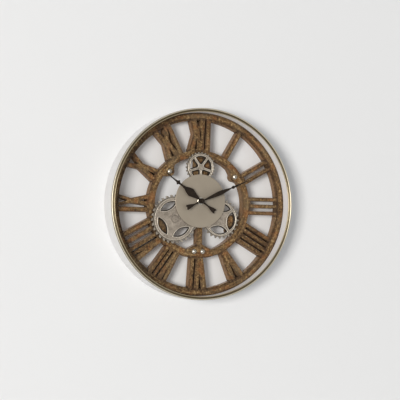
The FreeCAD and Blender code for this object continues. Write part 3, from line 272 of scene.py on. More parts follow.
print("a quarter arc in 3 points:", arc_points((0, 0), 1.0, 0, 90, 3).round(2).tolist())

# %% Eased copy of a cut piece
CAD_MERGE_DISTANCE = 3e-6
FLAT_LIMIT = math.radians(0.6)
EASED_LIMIT = math.radians(32)


def eased_copy(name, node, width, segments=2):
    """A copy of a CAD node with rounded edges: each edge over the limit is cut back by width."""
    mesh = nodes[node].data.copy()
    mesh.name = name
    mesh.materials.clear()
    bm = bmesh.new()
    bm.from_mesh(mesh)
    bmesh.ops.remove_doubles(bm, verts=bm.verts, dist=CAD_MERGE_DISTANCE)
    bmesh.ops.dissolve_limit(bm, angle_limit=FLAT_LIMIT, verts=bm.verts, edges=bm.edges)
    bm.to_mesh(mesh)
    bm.free()
    mesh.shade_smooth()
    piece = add_object(name, mesh)
    bevel = piece.modifiers.new("eased_edges", "BEVEL")
    bevel.width = width
    bevel.segments = segments
    bevel.limit_method = "ANGLE"
    bevel.angle_limit = EASED_LIMIT
    flats = piece.modifiers.new("flat_faces_stay_flat", "WEIGHTED_NORMAL")
    flats.keep_sharp = True
    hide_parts(node)
    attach(piece, body_of_node[node])
    return piece


def settle(piece, node, material):
    """Puts a new piece in a CAD node's place: it hides the node and gives the piece its body and
    its finish.
    """
    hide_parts(node)
    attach(piece, body_of_node[node])
    return dress(piece, material)


def dress(piece, material):
    """Gives a piece its finish."""
    piece.data.materials.clear()
    piece.data.materials.append(material)
    return piece


print("edges over", round(math.degrees(EASED_LIMIT)), "degrees are eased")

# %% [markdown]
# ## Patterns shared by the finishes
# A finish looks real when it varies: cast metal is cloudy and pitted, and old wood has streaks,
# pores and stains. Each such pattern is built once as a node group that puts out plain values. A
# material then turns the values into colour, roughness and relief in its own way.

# %% Groups and sockets


def new_group(name, inputs, outputs):
    """An empty shader node group with named sockets, and its two ends."""
    group = bpy.data.node_groups.new(name, "ShaderNodeTree")
    for title, kind, value in inputs:
        socket = group.interface.new_socket(title, in_out="INPUT", socket_type="NodeSocket" + kind)
        if value is not None:
            socket.default_value = value
    for title in outputs:
        group.interface.new_socket(title, in_out="OUTPUT", socket_type="NodeSocketFloat")
    return group, group.nodes.new("NodeGroupInput"), group.nodes.new("NodeGroupOutput")


def put(tree, value, socket):
    """Fills a socket: another socket is linked to it, and a plain value is written."""
    if isinstance(value, bpy.types.NodeSocket):
        tree.links.new(value, socket)
    else:
        socket.default_value = value


def feed(tree, node, **values):
    """Fills a node's sockets by title, with _ for each blank."""
    for title, value in values.items():
        put(tree, value, node.inputs[title.replace("_", " ")])
    return node


print("helpers for groups and sockets: new_group, put and feed")

# %% Values in nodes


def axes_of(tree, vector):
    """The sockets X, Y and Z of a vector."""
    parts = feed(tree, tree.nodes.new("ShaderNodeSeparateXYZ"), Vector=vector)
    return [parts.outputs[axis] for axis in "XYZ"]


def noise(tree, vector, scale, detail, roughness):
    """Cloudy values from 0 to 1: a sum of smooth random waves, each finer than the last."""
    node = tree.nodes.new("ShaderNodeTexNoise")
    feed(tree, node, Vector=vector, Scale=scale, Detail=detail, Roughness=roughness)
    return node.outputs["Fac"]


def spread(tree, value, low, high):
    """Stretches the values between low and high to 0 and 1, and clips the rest."""
    node = tree.nodes.new("ShaderNodeMapRange")
    return feed(tree, node, Value=value, From_Min=low, From_Max=high).outputs["Result"]


def combine(tree, operation, first, second):
    """Two values made one by an operation, such as ADD, MULTIPLY or POWER."""
    node = tree.nodes.new("ShaderNodeMath")
    node.operation = operation
    put(tree, first, node.inputs[0])
    put(tree, second, node.inputs[1])
    return node.outputs["Value"]


def scaled(tree, value, factor, offset=None):
    """The value times a factor, and then plus an offset where there is one."""
    product = combine(tree, "MULTIPLY", value, factor)
    return product if offset is None else combine(tree, "ADD", product, offset)


print("helpers for values: axes_of, noise, spread, combine and scaled")

# %% Colours in nodes


def ramp(tree, value, stops):
    """A colour for each value, blended between stops of (place, red, green, blue)."""
    node = tree.nodes.new("ShaderNodeValToRGB")
    tree.links.new(value, node.inputs["Fac"])
    elements = node.color_ramp.elements
    while len(elements) < len(stops):
        elements.new(1.0)
    for element, (place, *colour) in zip(elements, stops):
        element.position = place
        element.color = (*colour, 1)
    return node.outputs["Color"]


def blend(tree, share, first, second):
    """The first colour where share is 0, the second where it is 1."""
    node = tree.nodes.new("ShaderNodeMix")
    node.data_type = "RGBA"
    for title, value in (("Factor_Float", share), ("A_Color", first), ("B_Color", second)):
        socket = next(s for s in node.inputs if s.identifier == title)
        put(tree, (*value, 1) if isinstance(value, tuple) else value, socket)
    return next(s for s in node.outputs if s.identifier == "Result_Color")


print("helpers for colours: ramp and blend")

# %% Wood pattern
PORE_SCALE = 3.1
MOTTLE_SCALE = 260.0
STAIN_SCALE = 48.0
FADE_SCALE = 30.0
STREAK_SHARE = 0.40
PORE_SHADE = 0.35
STREAK_RELIEF = 0.5
MOTTLE_RELIEF = 0.4
wood_group, wood_in, wood_out = new_group(
    "aged_wood", [("Grain", "Vector", None), ("Place", "Vector", None)],
    ["Tone", "Rust", "Fade", "Height"])


def fill_aged_wood():
    """Streaks and pores run along the grain's third axis; mottling and stains run all ways.

    Tone is the shared sum of streak and mottle, times a factor that is lower in a pore. Height is
    the sum of pore, streak and mottle, each times its share of the relief.
    """
    tree = wood_group
    grain, place = wood_in.outputs["Grain"], wood_in.outputs["Place"]
    streak = noise(tree, grain, scale=1.0, detail=5.0, roughness=0.62)
    streak = spread(tree, streak, low=0.33, high=0.68)
    pore = noise(tree, grain, PORE_SCALE, detail=3.0, roughness=0.5)
    pore = spread(tree, pore, low=0.30, high=0.46)
    mottle = noise(tree, place, MOTTLE_SCALE, detail=6.0, roughness=0.78)
    mottle = spread(tree, mottle, low=0.38, high=0.63)
    tone = combine(tree, "ADD", scaled(tree, streak, STREAK_SHARE),
                   scaled(tree, mottle, 1 - STREAK_SHARE))
    tone = combine(tree, "MULTIPLY", tone, scaled(tree, pore, PORE_SHADE, 1 - PORE_SHADE))
    stain = noise(tree, place, STAIN_SCALE, detail=4.0, roughness=0.6)
    fade = noise(tree, place, FADE_SCALE, detail=3.0, roughness=0.55)
    height = combine(tree, "ADD", scaled(tree, pore, STREAK_RELIEF),
                     scaled(tree, streak, STREAK_RELIEF))
    height = combine(tree, "ADD", height, scaled(tree, mottle, MOTTLE_RELIEF))
    for title, value in (("Tone", tone), ("Rust", spread(tree, stain, low=0.52, high=0.62)),
                         ("Fade", spread(tree, fade, low=0.50, high=0.66)), ("Height", height)):
        tree.links.new(value, wood_out.inputs[title])


fill_aged_wood()
print("wood group nodes:", len(wood_group.nodes))

# %% Masks for sides and eased edges, where light and shade are painted
side_group, side_in, side_out = new_group(
    "side_and_edge", [("Facing", "Vector", None)], ["Side", "Edge"])


def fill_side_and_edge():
    """With n the share of a face that looks along Y: Side = 1 - n, and Edge = 4 n (1 - n)."""
    tree = side_group
    ahead = combine(tree, "ABSOLUTE", axes_of(tree, side_in.outputs["Facing"])[1], 0.0)
    side = combine(tree, "SUBTRACT", 1.0, ahead)
    tree.links.new(side, side_out.inputs["Side"])
    edge = scaled(tree, combine(tree, "MULTIPLY", ahead, side), 4.0)
    tree.links.new(edge, side_out.inputs["Edge"])


fill_side_and_edge()
print("mask group nodes:", len(side_group.nodes))

# %% Cast metal pattern
SCRATCH_TURN = 0.7
SCRATCH_SQUEEZE = (60, 60, 2600)
cast_group, cast_in, cast_out = new_group(
    "cloudy_metal", [("Place", "Vector", None), ("Cloud size", "Float", 60.0),
                     ("Grit size", "Float", 900.0)], ["Cloud", "Grit", "Scratch"])


def fill_cloudy_metal():
    """Broad clouds, fine grit and thin scratches, each from 0 to 1."""
    tree = cast_group
    place = cast_in.outputs["Place"]
    cloud = noise(tree, place, cast_in.outputs["Cloud size"], detail=4.0, roughness=0.55)
    grit = noise(tree, place, cast_in.outputs["Grit size"], detail=3.0, roughness=0.6)
    turned = feed(tree, tree.nodes.new("ShaderNodeMapping"), Vector=place,
                  Rotation=(0, SCRATCH_TURN, 0), Scale=SCRATCH_SQUEEZE)
    scratch = noise(tree, turned.outputs["Vector"], scale=1.0, detail=2.0, roughness=0.5)
    tree.links.new(spread(tree, cloud, low=0.32, high=0.68), cast_out.inputs["Cloud"])
    tree.links.new(spread(tree, grit, low=0.32, high=0.68), cast_out.inputs["Grit"])
    tree.links.new(spread(tree, scratch, low=0.60, high=0.70), cast_out.inputs["Scratch"])


fill_cloudy_metal()
print("metal group nodes:", len(cast_group.nodes))

# %% [markdown]
# ## The finishes
# The wood is brown with rust-red stains and worn streaks. On a numeral the streaks run from foot to
# head. On a ring they follow the curve, which a straight pattern can't do. So the pattern is laid
# out by the angle around the clock: the sine and cosine of the angle change slowly along the ring,
# and the radius changes fast across it, and the pattern has no seam. The sides are painted paler,
# as painted light, and the eased edges lighter, for wear and as a painted highlight. Seams are
# darkened with painted shade, and each face is darker along its outline. Ambient occlusion finds
# both: it looks out of the piece for the seams, and into it for the outlines.

# %% A new finish and its relief


def new_finish(name):
    """A new material with its tree, its shader and its Object coordinates."""
    material = bpy.data.materials.new(name)
    material.use_nodes = True
    tree = material.node_tree
    place = tree.nodes.new("ShaderNodeTexCoord").outputs["Object"]
    return material, tree, tree.nodes["Principled BSDF"], place


def relief(tree, shader, height, depth):
    """Fine relief from a height value: the normal tilts with the slope of depth times height."""
    bump = tree.nodes.new("ShaderNodeBump")
    feed(tree, bump, Height=height, Distance=depth)
    tree.links.new(bump.outputs["Normal"], shader.inputs["Normal"])


print("helpers for a finish: new_finish and relief")

# %% Patterns, masks and openness
OCCLUSION_SAMPLES = 6


def pattern_of(tree, group, **values):
    """Places a shared group in a material and feeds it."""
    node = tree.nodes.new("ShaderNodeGroup")
    node.node_tree = group
    return feed(tree, node, **values)


def facing_masks(tree):
    """The side and edge masks, from the face's direction on the object itself."""
    facing = tree.nodes.new("ShaderNodeTexCoord").outputs["Normal"]
    masks = pattern_of(tree, side_group, Facing=facing)
    return masks.outputs["Side"], masks.outputs["Edge"]


def openness(tree, reach, power, inside=False):
    """1 in the open and towards 0 in seams and corners, where something is nearer than reach.

    Inside looks into the piece instead: 1 on a broad face and towards 0 along its outline.
    """
    occlusion = tree.nodes.new("ShaderNodeAmbientOcclusion")
    occlusion.samples = OCCLUSION_SAMPLES
    occlusion.inside = inside
    occlusion.only_local = inside
    occlusion.inputs["Distance"].default_value = reach
    return combine(tree, "POWER", occlusion.outputs["AO"], power)


print("openness is measured with", OCCLUSION_SAMPLES, "rays")

# %% Grain directions
GRAIN_ALONG = 30.0
GRAIN_ACROSS = 230.0
GRAIN_DEEP = 170.0


def straight_grain(tree, place, angle):
    """Grain that runs along a clock angle: the pattern is turned back and squeezed across."""
    turned = feed(tree, tree.nodes.new("ShaderNodeMapping"), Vector=place,
                  Rotation=(0, -math.radians(angle), 0))
    squeezed = feed(tree, tree.nodes.new("ShaderNodeMapping"), Vector=turned.outputs["Vector"],
                    Scale=(GRAIN_ACROSS, GRAIN_ACROSS, GRAIN_ALONG))
    return squeezed.outputs["Vector"]


def curved_grain(tree, place, reach):
    """Grain that follows a ring: (sin a, cos a) times reach, and the radius and depth squeezed."""
    x, y, z = axes_of(tree, place)
    square = combine(tree, "ADD", combine(tree, "MULTIPLY", x, x), combine(tree, "MULTIPLY", z, z))
    radius = combine(tree, "SQRT", square, 0.0)
    sine = scaled(tree, combine(tree, "DIVIDE", x, radius), reach)
    cosine = scaled(tree, combine(tree, "DIVIDE", z, radius), reach)
    across = combine(tree, "ADD", scaled(tree, radius, GRAIN_ACROSS), scaled(tree, y, GRAIN_DEEP))
    vector = tree.nodes.new("ShaderNodeCombineXYZ")
    return feed(tree, vector, X=sine, Y=cosine, Z=across).outputs["Vector"]


print("grain per metre: along", GRAIN_ALONG, "across", GRAIN_ACROSS)

# %% Wood finish
WOOD_STOPS = [(0.04, 0.026, 0.014, 0.007), (0.26, 0.072, 0.037, 0.014), (0.46, 0.147, 0.079, 0.028),
              (0.66, 0.262, 0.158, 0.061), (0.88, 0.470, 0.325, 0.158)]
RUST_COLOUR = (0.300, 0.105, 0.028)
FADED_COLOUR = (0.230, 0.175, 0.100)
# Painted light: the sides of each wooden piece get a paler colour for the light they catch.
SIDE_LIGHT_COLOUR = (0.300, 0.178, 0.095)
# Wear and painted highlight: the eased edges are lightened towards this colour.
EDGE_WEAR_AND_HIGHLIGHT_COLOUR = (0.420, 0.270, 0.135)
# Each face is darkened towards this colour along its outline.
OUTLINE_DARK_COLOUR = (0.050, 0.026, 0.013)
# Painted shade: seams and corners of the wood are darkened towards this colour.
WOOD_SEAM_SHADE_COLOUR = (0.016, 0.009, 0.006)
RUST_SHARE = 0.38
FADED_SHARE = 0.32
SIDE_LIGHT_SHARE, SIDE_LIGHT_BY_TONE = 0.45, 0.40
EDGE_WEAR_AND_HIGHLIGHT_BY_TONE = 0.70
WOOD_SEAM_SHADE_REACH, WOOD_SEAM_SHADE_POWER = 0.005, 1.5
OUTLINE_DARK_REACH, OUTLINE_DARK_POWER, OUTLINE_DARK_SHARE = 0.0040, 1.9, 1.25
WOOD_ROUGHNESS, SMOOTHER_BY_TONE = 0.78, 0.28
WOOD_SPECULAR = 0.28
WOOD_RELIEF = 0.0005


def wood_finish(name, grain_of, setting):
    """Aged brown wood: tone makes the colour, then stains, sides painted paler as painted light,
    edges lighter for wear and as a painted highlight, painted shade in seams, and a darker band
    along each outline.

    Grain_of is straight_grain, with a clock angle for its setting, or curved_grain, with a reach.
    """
    material, tree, shader, place = new_finish(name)
    pattern = pattern_of(tree, wood_group, Grain=grain_of(tree, place, setting), Place=place)
    tone = pattern.outputs["Tone"]
    side, edge = facing_masks(tree)
    colour = ramp(tree, tone, WOOD_STOPS)
    colour = blend(tree, scaled(tree, pattern.outputs["Rust"], RUST_SHARE), colour, RUST_COLOUR)
    colour = blend(tree, scaled(tree, pattern.outputs["Fade"], FADED_SHARE), colour, FADED_COLOUR)
    # Painted light: the sides are blended towards a paler colour.
    side_light = scaled(tree, tone, SIDE_LIGHT_BY_TONE, SIDE_LIGHT_SHARE)
    colour = blend(tree, combine(tree, "MULTIPLY", side, side_light), colour, SIDE_LIGHT_COLOUR)
    # Wear and painted highlight on the eased edges.
    edge_wear_and_highlight = combine(tree, "MULTIPLY", edge, scaled(tree, tone, EDGE_WEAR_AND_HIGHLIGHT_BY_TONE))
    colour = blend(tree, edge_wear_and_highlight, colour, EDGE_WEAR_AND_HIGHLIGHT_COLOUR)
    # Painted shade in seams and corners, found by ambient occlusion.
    colour = blend(tree, openness(tree, WOOD_SEAM_SHADE_REACH, WOOD_SEAM_SHADE_POWER), WOOD_SEAM_SHADE_COLOUR, colour)
    # Darker along each face's outline, found by ambient occlusion looking into the piece.
    inner = openness(tree, OUTLINE_DARK_REACH, OUTLINE_DARK_POWER, inside=True)
    outline = combine(tree, "SUBTRACT", 1.0, inner)
    outline_dark = combine(tree, "MULTIPLY", outline, combine(tree, "SUBTRACT", OUTLINE_DARK_SHARE, tone))
    colour = blend(tree, outline_dark, colour, OUTLINE_DARK_COLOUR)
    rough = combine(tree, "SUBTRACT", WOOD_ROUGHNESS, scaled(tree, tone, SMOOTHER_BY_TONE))
    feed(tree, shader, Base_Color=colour, Roughness=rough, Specular_IOR_Level=WOOD_SPECULAR)
    relief(tree, shader, pattern.outputs["Height"], WOOD_RELIEF)
    return material


print("wood colours:", len(WOOD_STOPS), "along the tone, and 6 over it")

# %% [markdown]
# ## Metals and plastics
# Cast pewter is cloudy, polished steel shows faint marks, and moulded plastic has a fine grain. One
# recipe serves them all: two colours mixed by the clouds, and a roughness that follows the grit.
# What differs is how metallic and how rough each one is, so each finish is one call.

# %% Metal finish
GRIT_SHARE = 0.6
SIDE_SHADE_SHARE = 0.85
SEAM_SHADE_REACH, SEAM_SHADE_POWER = 0.005, 2.0
GRIT_ROUGHNESS = 0.14


def metal_finish(name, colour, stain, metallic, roughness, cloud, grit, relief_depth=0.0,
                 scratches=0.0, side_shade=None, specular=0.5):
    """Metal whose colour goes from its own to a stain with the clouds; grit roughens it.

    Cloud and grit are waves per metre. The side shade is a darker colour, painted as shade on the
    sides and in seams.
    """
    material, tree, shader, place = new_finish(name)
    pattern = pattern_of(tree, cast_group, Place=place, Cloud_size=cloud, Grit_size=grit)
    gritty = scaled(tree, pattern.outputs["Grit"], GRIT_SHARE, 1 - GRIT_SHARE)
    share = combine(tree, "MULTIPLY", pattern.outputs["Cloud"], gritty)
    mixed = blend(tree, share, colour, stain)
    if side_shade:
        # Painted shade: the sides, and the seams that ambient occlusion finds, are blended towards
        # a darker colour.
        side, edge = facing_masks(tree)
        mixed = blend(tree, scaled(tree, side, SIDE_SHADE_SHARE), mixed, side_shade)
        mixed = blend(tree, openness(tree, SEAM_SHADE_REACH, SEAM_SHADE_POWER), side_shade, mixed)
    rough = scaled(tree, pattern.outputs["Grit"], GRIT_ROUGHNESS, roughness - GRIT_ROUGHNESS / 2)
    if scratches:
        scratch = scaled(tree, pattern.outputs["Scratch"], scratches)
        rough = combine(tree, "SUBTRACT", rough, scratch)
    feed(tree, shader, Base_Color=mixed, Metallic=metallic, Roughness=rough,
         Specular_IOR_Level=specular)
    if relief_depth:
        height = combine(tree, "ADD", pattern.outputs["Grit"], pattern.outputs["Cloud"])
        relief(tree, shader, height, relief_depth)
    return material


print("grit changes the roughness by up to", GRIT_ROUGHNESS / 2, "each way")

# %% Finishes of the face
# The plates and the toothed wheels take a darker colour on their sides and in their seams, painted
# as shade.
PEWTER = metal_finish(
    "pewter_cast", (0.435, 0.370, 0.300), (0.185, 0.155, 0.120), metallic=0.45, roughness=0.38,
    cloud=60.0, grit=500.0, relief_depth=0.0006, side_shade=(0.085, 0.068, 0.050))
# Wear and painted highlight: the beads round the windows, the plates' edges and the boss get a pale
# colour.
PEWTER_BEAD_WORN_AND_HIGHLIT = metal_finish(
    "pewter_bead_worn_and_highlit", (0.78, 0.70, 0.59), (0.42, 0.36, 0.28), metallic=0.6, roughness=0.32,
    cloud=130.0, grit=900.0, relief_depth=0.00015)
PEWTER_DARK = metal_finish(
    "pewter_toothed_wheel", (0.50, 0.44, 0.36), (0.18, 0.15, 0.115), metallic=0.45, roughness=0.42,
    cloud=150.0, grit=600.0, relief_depth=0.0003, side_shade=(0.060, 0.048, 0.036))
# Painted shade: a dark ring sunk just inside each window, where its wall is in shade.
WINDOW_SHADE_LINER = metal_finish(
    "window_painted_shade", (0.030, 0.022, 0.014), (0.015, 0.011, 0.008), metallic=0.2,
    roughness=0.60, cloud=200.0, grit=1500.0)
DISC_METAL = metal_finish(
    "disc_satin", (0.395, 0.335, 0.258), (0.315, 0.267, 0.205), metallic=0.35, roughness=0.38,
    cloud=22.0, grit=1400.0, relief_depth=0.00003)
BRIGHT_STEEL = metal_finish(
    "steel_polished", (0.78, 0.74, 0.66), (0.60, 0.56, 0.48), metallic=1.0, roughness=0.22,
    cloud=160.0, grit=1500.0)
DOME_STEEL = metal_finish(
    "steel_ball_head", (0.66, 0.61, 0.52), (0.38, 0.34, 0.27), metallic=0.9, roughness=0.22,
    cloud=260.0, grit=1500.0)
SCREW_STEEL = metal_finish(
    "steel_screw", (0.55, 0.54, 0.52), (0.36, 0.35, 0.33), metallic=1.0, roughness=0.36,
    cloud=200.0, grit=1500.0)
HAND_METAL = metal_finish(
    "hand_enamel", (0.012, 0.0080, 0.0050), (0.030, 0.019, 0.011), metallic=0.0, roughness=0.42,
    cloud=120.0, grit=1500.0, relief_depth=0.00004, specular=0.20)
print("finishes so far:", len(bpy.data.materials))

# %% Finishes behind the dial
BRASS = metal_finish(
    "brass_wheel", (0.78, 0.56, 0.24), (0.55, 0.38, 0.15), metallic=1.0, roughness=0.30,
    cloud=300.0, grit=3000.0)
SHEET_METAL = metal_finish(
    "plated_sheet", (0.66, 0.64, 0.58), (0.48, 0.46, 0.41), metallic=1.0, roughness=0.33,
    cloud=150.0, grit=1800.0, scratches=0.08)
COPPER = metal_finish(
    "copper_wire", (0.72, 0.33, 0.16), (0.45, 0.18, 0.08), metallic=1.0, roughness=0.32,
    cloud=400.0, grit=3000.0)
IRON = metal_finish(
    "stator_iron_sheet", (0.33, 0.33, 0.34), (0.20, 0.19, 0.19), metallic=0.9, roughness=0.45,
    cloud=250.0, grit=2500.0)
CASE_PLASTIC = metal_finish(
    "case_plastic", (0.018, 0.018, 0.019), (0.030, 0.030, 0.031), metallic=0.0, roughness=0.50,
    cloud=90.0, grit=2600.0, relief_depth=0.00006)
WHEEL_PLASTIC = metal_finish(
    "wheel_plastic", (0.72, 0.70, 0.64), (0.60, 0.57, 0.50), metallic=0.0, roughness=0.45,
    cloud=200.0, grit=2200.0)
RUBBER = metal_finish(
    "bumper_rubber", (0.022, 0.021, 0.020), (0.040, 0.038, 0.036), metallic=0.0, roughness=0.78,
    cloud=150.0, grit=1800.0, relief_depth=0.00008)
BOARD = metal_finish(
    "board_lacquer", (0.020, 0.135, 0.060), (0.012, 0.090, 0.042), metallic=0.0, roughness=0.38,
    cloud=300.0, grit=2400.0)
print("finishes so far:", len(bpy.data.materials))

# %% [markdown]
# ## The rim
# The rim is one band of polished metal: a plain outer wall, two fine beads with a hollow between
# them on the front edge, a smooth inner wall, and a flange behind that carries the dial. It is
# turned, so its section is drawn once, with true arcs for the beads, and carried round the clock's
# axis. A colour ramp along the section makes the hollow between the beads dark, with patina and a
# painted dark reflection, and paints a thin dark reflection on the outer flank of the outer bead.

# %% Rim section
RIM_RADIUS = cad_high.x
RIM_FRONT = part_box("rim")[0].y
RIM_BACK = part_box("rim")[1].y
DIAL_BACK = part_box("outer_wood_ring")[1].y
SHEET = 0.0012
OUTER_BEAD = 0.00125
INNER_BEAD = 0.0007
HOLLOW_WIDTH = 0.0026
HOLLOW_DEPTH = 0.0020
LIP = 0.0045
FLANGE = 0.0080
CORNER = 0.0004


def wall_points(radius, start, end, count):
    """Points (radius, y) of a profile along a straight wall, for y from start to end."""
    return np.stack([np.full(count, radius), np.linspace(start, end, count)], -1)


def rim_section():
    """The closed section (radius, depth) of the rim, as one array and as its runs.

    It goes up the outer wall, over the outer bead, the hollow and the inner bead, down the inner
    wall to the flange, and back inside the sheet. The hollow is an arc of radius (h^2 + d^2) / 2d,
    with h half its width and d its depth.
    """
    hollow_outer = RIM_RADIUS - 2 * OUTER_BEAD
    hollow_inner = hollow_outer - HOLLOW_WIDTH
    inner = hollow_inner - 2 * INNER_BEAD
    half = HOLLOW_WIDTH / 2
    bend = (half ** 2 + HOLLOW_DEPTH ** 2) / (2 * HOLLOW_DEPTH)
    open_angle = math.degrees(math.asin(min(1.0, half / bend)))
    if HOLLOW_DEPTH > bend:
        open_angle = 180 - open_angle
    runs = [
        arc_points((RIM_RADIUS - CORNER, RIM_BACK - CORNER), CORNER, 90, 0, count=5),
        wall_points(RIM_RADIUS, RIM_BACK - 2 * CORNER, RIM_FRONT + 2 * OUTER_BEAD, count=12),
        arc_points((RIM_RADIUS - OUTER_BEAD, RIM_FRONT + OUTER_BEAD), OUTER_BEAD, 0, -180,
                   count=17),
        arc_points((hollow_outer - half, RIM_FRONT + OUTER_BEAD + HOLLOW_DEPTH - bend), bend,
                   90 - open_angle, 90 + open_angle, count=13)[1:-1],
        arc_points((hollow_inner - INNER_BEAD, RIM_FRONT + OUTER_BEAD), INNER_BEAD, 0, -180,
                   count=13),
        wall_points(inner, RIM_FRONT + 2 * OUTER_BEAD, DIAL_BACK - CORNER, count=10),
        np.array([(inner - FLANGE, DIAL_BACK), (inner - FLANGE, DIAL_BACK + SHEET),
                  (inner + SHEET, DIAL_BACK + SHEET), (inner + SHEET, RIM_FRONT + LIP),
                  (RIM_RADIUS - SHEET, RIM_FRONT + LIP), (RIM_RADIUS - SHEET, RIM_BACK)]),
    ]
    return np.concatenate(runs), runs


section, section_runs = rim_section()
print("rim section points:", len(section), "front at", round(RIM_FRONT, 4))

# %% Rim piece
RIM_SEGMENTS = 360
RUN_STRIPES = [(0.05, 0.05), (0.10, 0.18), (0.20, 0.40), (0.42, 0.58), (0.60, 0.78), (0.82, 0.90),
               (0.95, 0.95)]


def rim_stripe():
    """One value for each point of the section: each run goes evenly from its low to its high."""
    return np.concatenate([np.linspace(low, high, len(run))
                           for (low, high), run in zip(RUN_STRIPES, section_runs)])


rim_band = grid_piece("rim_band", turned_points(section, segments=RIM_SEGMENTS),
                      stripe=rim_stripe())
print("rim points:", len(rim_band.data.vertices))

# %% Rim finish
# Painted reflection: the dark band on the outer bead's outer flank, and the dark hollow, which is
# also patina.
RIM_COLOUR_AND_REFLECTION_STOPS = [(0.10, 0.68, 0.675, 0.68), (0.175, 0.68, 0.67, 0.66), (0.180, 0.17, 0.14, 0.09),
             (0.245, 0.17, 0.14, 0.09), (0.270, 0.86, 0.78, 0.62), (0.375, 0.70, 0.60, 0.42),
             (0.43, 0.20, 0.155, 0.085), (0.57, 0.20, 0.155, 0.085), (0.63, 0.50, 0.40, 0.24),
             (0.77, 0.62, 0.53, 0.37), (0.83, 0.92, 0.91, 0.92)]
TARNISH_COLOUR = (0.42, 0.37, 0.27)
TARNISH_SHARE = 0.16
WALL_METALLIC, BEAD_METALLIC = 0.08, 0.79
WALL_ROUGHNESS, BEAD_SHINE, CLOUD_ROUGHNESS = 0.42, 0.10, 0.08


def rim_finish():
    """Nickel; along the section the walls are pale and satin, the beads polished, and the hollow
    dark with patina and a painted dark reflection; a thin painted dark reflection lies on the outer
    flank of the outer bead.

    Polished is 1 from the outer bead to the inner one and 0 on the walls. It raises Metallic and
    lowers Roughness.
    """
    material, tree, shader, place = new_finish("nickel_rim")
    pattern = pattern_of(tree, cast_group, Place=place, Cloud_size=22.0, Grit_size=700.0)
    uv = tree.nodes.new("ShaderNodeUVMap")
    uv.uv_map = "around_and_across"
    stripe = axes_of(tree, uv.outputs["UV"])[1]
    tarnish = scaled(tree, pattern.outputs["Cloud"], TARNISH_SHARE)
    colour = blend(tree, tarnish, ramp(tree, stripe, RIM_COLOUR_AND_REFLECTION_STOPS), TARNISH_COLOUR)
    polished = combine(tree, "SUBTRACT", spread(tree, stripe, low=0.18, high=0.22),
                       spread(tree, stripe, low=0.78, high=0.82))
    metallic = scaled(tree, polished, BEAD_METALLIC, WALL_METALLIC)
    rough = scaled(tree, pattern.outputs["Cloud"], CLOUD_ROUGHNESS, WALL_ROUGHNESS)
    rough = combine(tree, "SUBTRACT", rough, scaled(tree, polished, BEAD_SHINE))
    feed(tree, shader, Base_Color=colour, Metallic=metallic, Roughness=rough)
    return material


settle(rim_band, "rim", rim_finish())
print("rim finish stops:", len(RIM_COLOUR_AND_REFLECTION_STOPS))

# %% [markdown]
# ## The wooden dial
# Both rings and the twelve numerals are cut from thick board. Their outlines are right in the CAD
# model, and the real edges are a little rounded and worn, so each piece is an eased copy. Every
# numeral needs its own finish, because its grain points away from the clock's middle.

# %% Wooden pieces
EASED_WOOD = 0.0006
RING_GRAIN = {"outer": 4.2, "inner": 2.6}
HOUR_ANGLE = 360 / 12

for ring, reach in RING_GRAIN.items():
    dress(eased_copy(f"{ring}_ring_wood", f"{ring}_wood_ring", EASED_WOOD),
          wood_finish(f"wood_{ring}_ring", curved_grain, reach))
for hour in range(1, 13):
    numeral = eased_copy(f"numeral_{hour:02d}_wood", f"numeral_{hour:02d}", EASED_WOOD)
    dress(numeral,
          wood_finish(f"wood_numeral_{hour:02d}", straight_grain, HOUR_ANGLE * hour))

# %% [markdown]
# ## The gears
# Each gear is a cast plate with a toothed wheel behind it. The plates have lens-shaped windows with
# a raised bead around them, which is what makes the casting look crisp. A bead is a small circle
# carried along the window's outline, set a little outside it, and half sunk into the plate.

# %% Gear plates and wheels
GEARS = ("top", "left", "right")
EASED_PLATE = 0.0005
EASED_TEETH = 0.00035

for gear in GEARS:
    dress(eased_copy(f"{gear}_gear_plate", f"{gear}_gear_face", EASED_PLATE), PEWTER)
    dress(eased_copy(f"{gear}_gear_teeth", f"{gear}_gear_wheel", EASED_TEETH),
          PEWTER_DARK)

# %% Places of the gears
PLATE_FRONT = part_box("left_gear_face")[0].y
WHEEL_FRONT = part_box("left_gear_wheel")[0].y


def plate_circle(gear):
    """The middle (x, z) and the radius of a gear's plate, from its box."""
    low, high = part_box(f"{gear}_gear_face")
    return ((low.x + high.x) / 2, (low.z + high.z) / 2), (high.x - low.x) / 2


GEAR_CENTRES = {gear: plate_circle(gear)[0] for gear in GEARS}
PLATE_RADII = {gear: plate_circle(gear)[1] for gear in GEARS}
print("plate radii:", {gear: round(radius, 4) for gear, radius in PLATE_RADII.items()})

# %% Lens and spoke windows
LENSES = {
    "left": {"length": 0.0355, "width": 0.0140, "radius": 0.0260, "angle": 61.0},
    "right": {"length": 0.0340, "width": 0.0160, "radius": 0.0205, "angle": 9.0},
}
LENS_COUNT = 4
SPOKE_COUNT = 5
SPOKE_WIDTH = 0.0036
SPOKE_BAND = 0.0038
SPOKE_HUB = 0.0056


def lens_outline(length, width, reach, count=60):
    """Points (x, z) of a lens: two arcs of radius (a^2 + h^2) / 2h, for half sides a and h."""
    half, rise = length / 2, width / 2
    bend = (half ** 2 + rise ** 2) / (2 * rise)
    turn = np.linspace(-1, 1, count, endpoint=False) * math.asin(half / bend)
    upper = np.stack([bend * np.sin(turn), bend * np.cos(turn) - (bend - rise)], -1)
    return np.concatenate([upper, -upper]) + [0, reach]


def sector_outline(inner, outer, half_spoke, opening, count=60):
    """Points of a window between two spokes: an outer arc, and an inner arc walked back.

    Each arc ends where it meets a spoke's side: at the half opening less asin(half spoke / radius).
    """
    arcs = []
    for radius, way in ((outer, 1), (inner, -1)):
        reach = opening / 2 - math.asin(half_spoke / radius)
        turn = way * np.linspace(-reach, reach, count)
        arcs.append(np.stack([radius * np.sin(turn), radius * np.cos(turn)], -1))
    return np.concatenate(arcs)


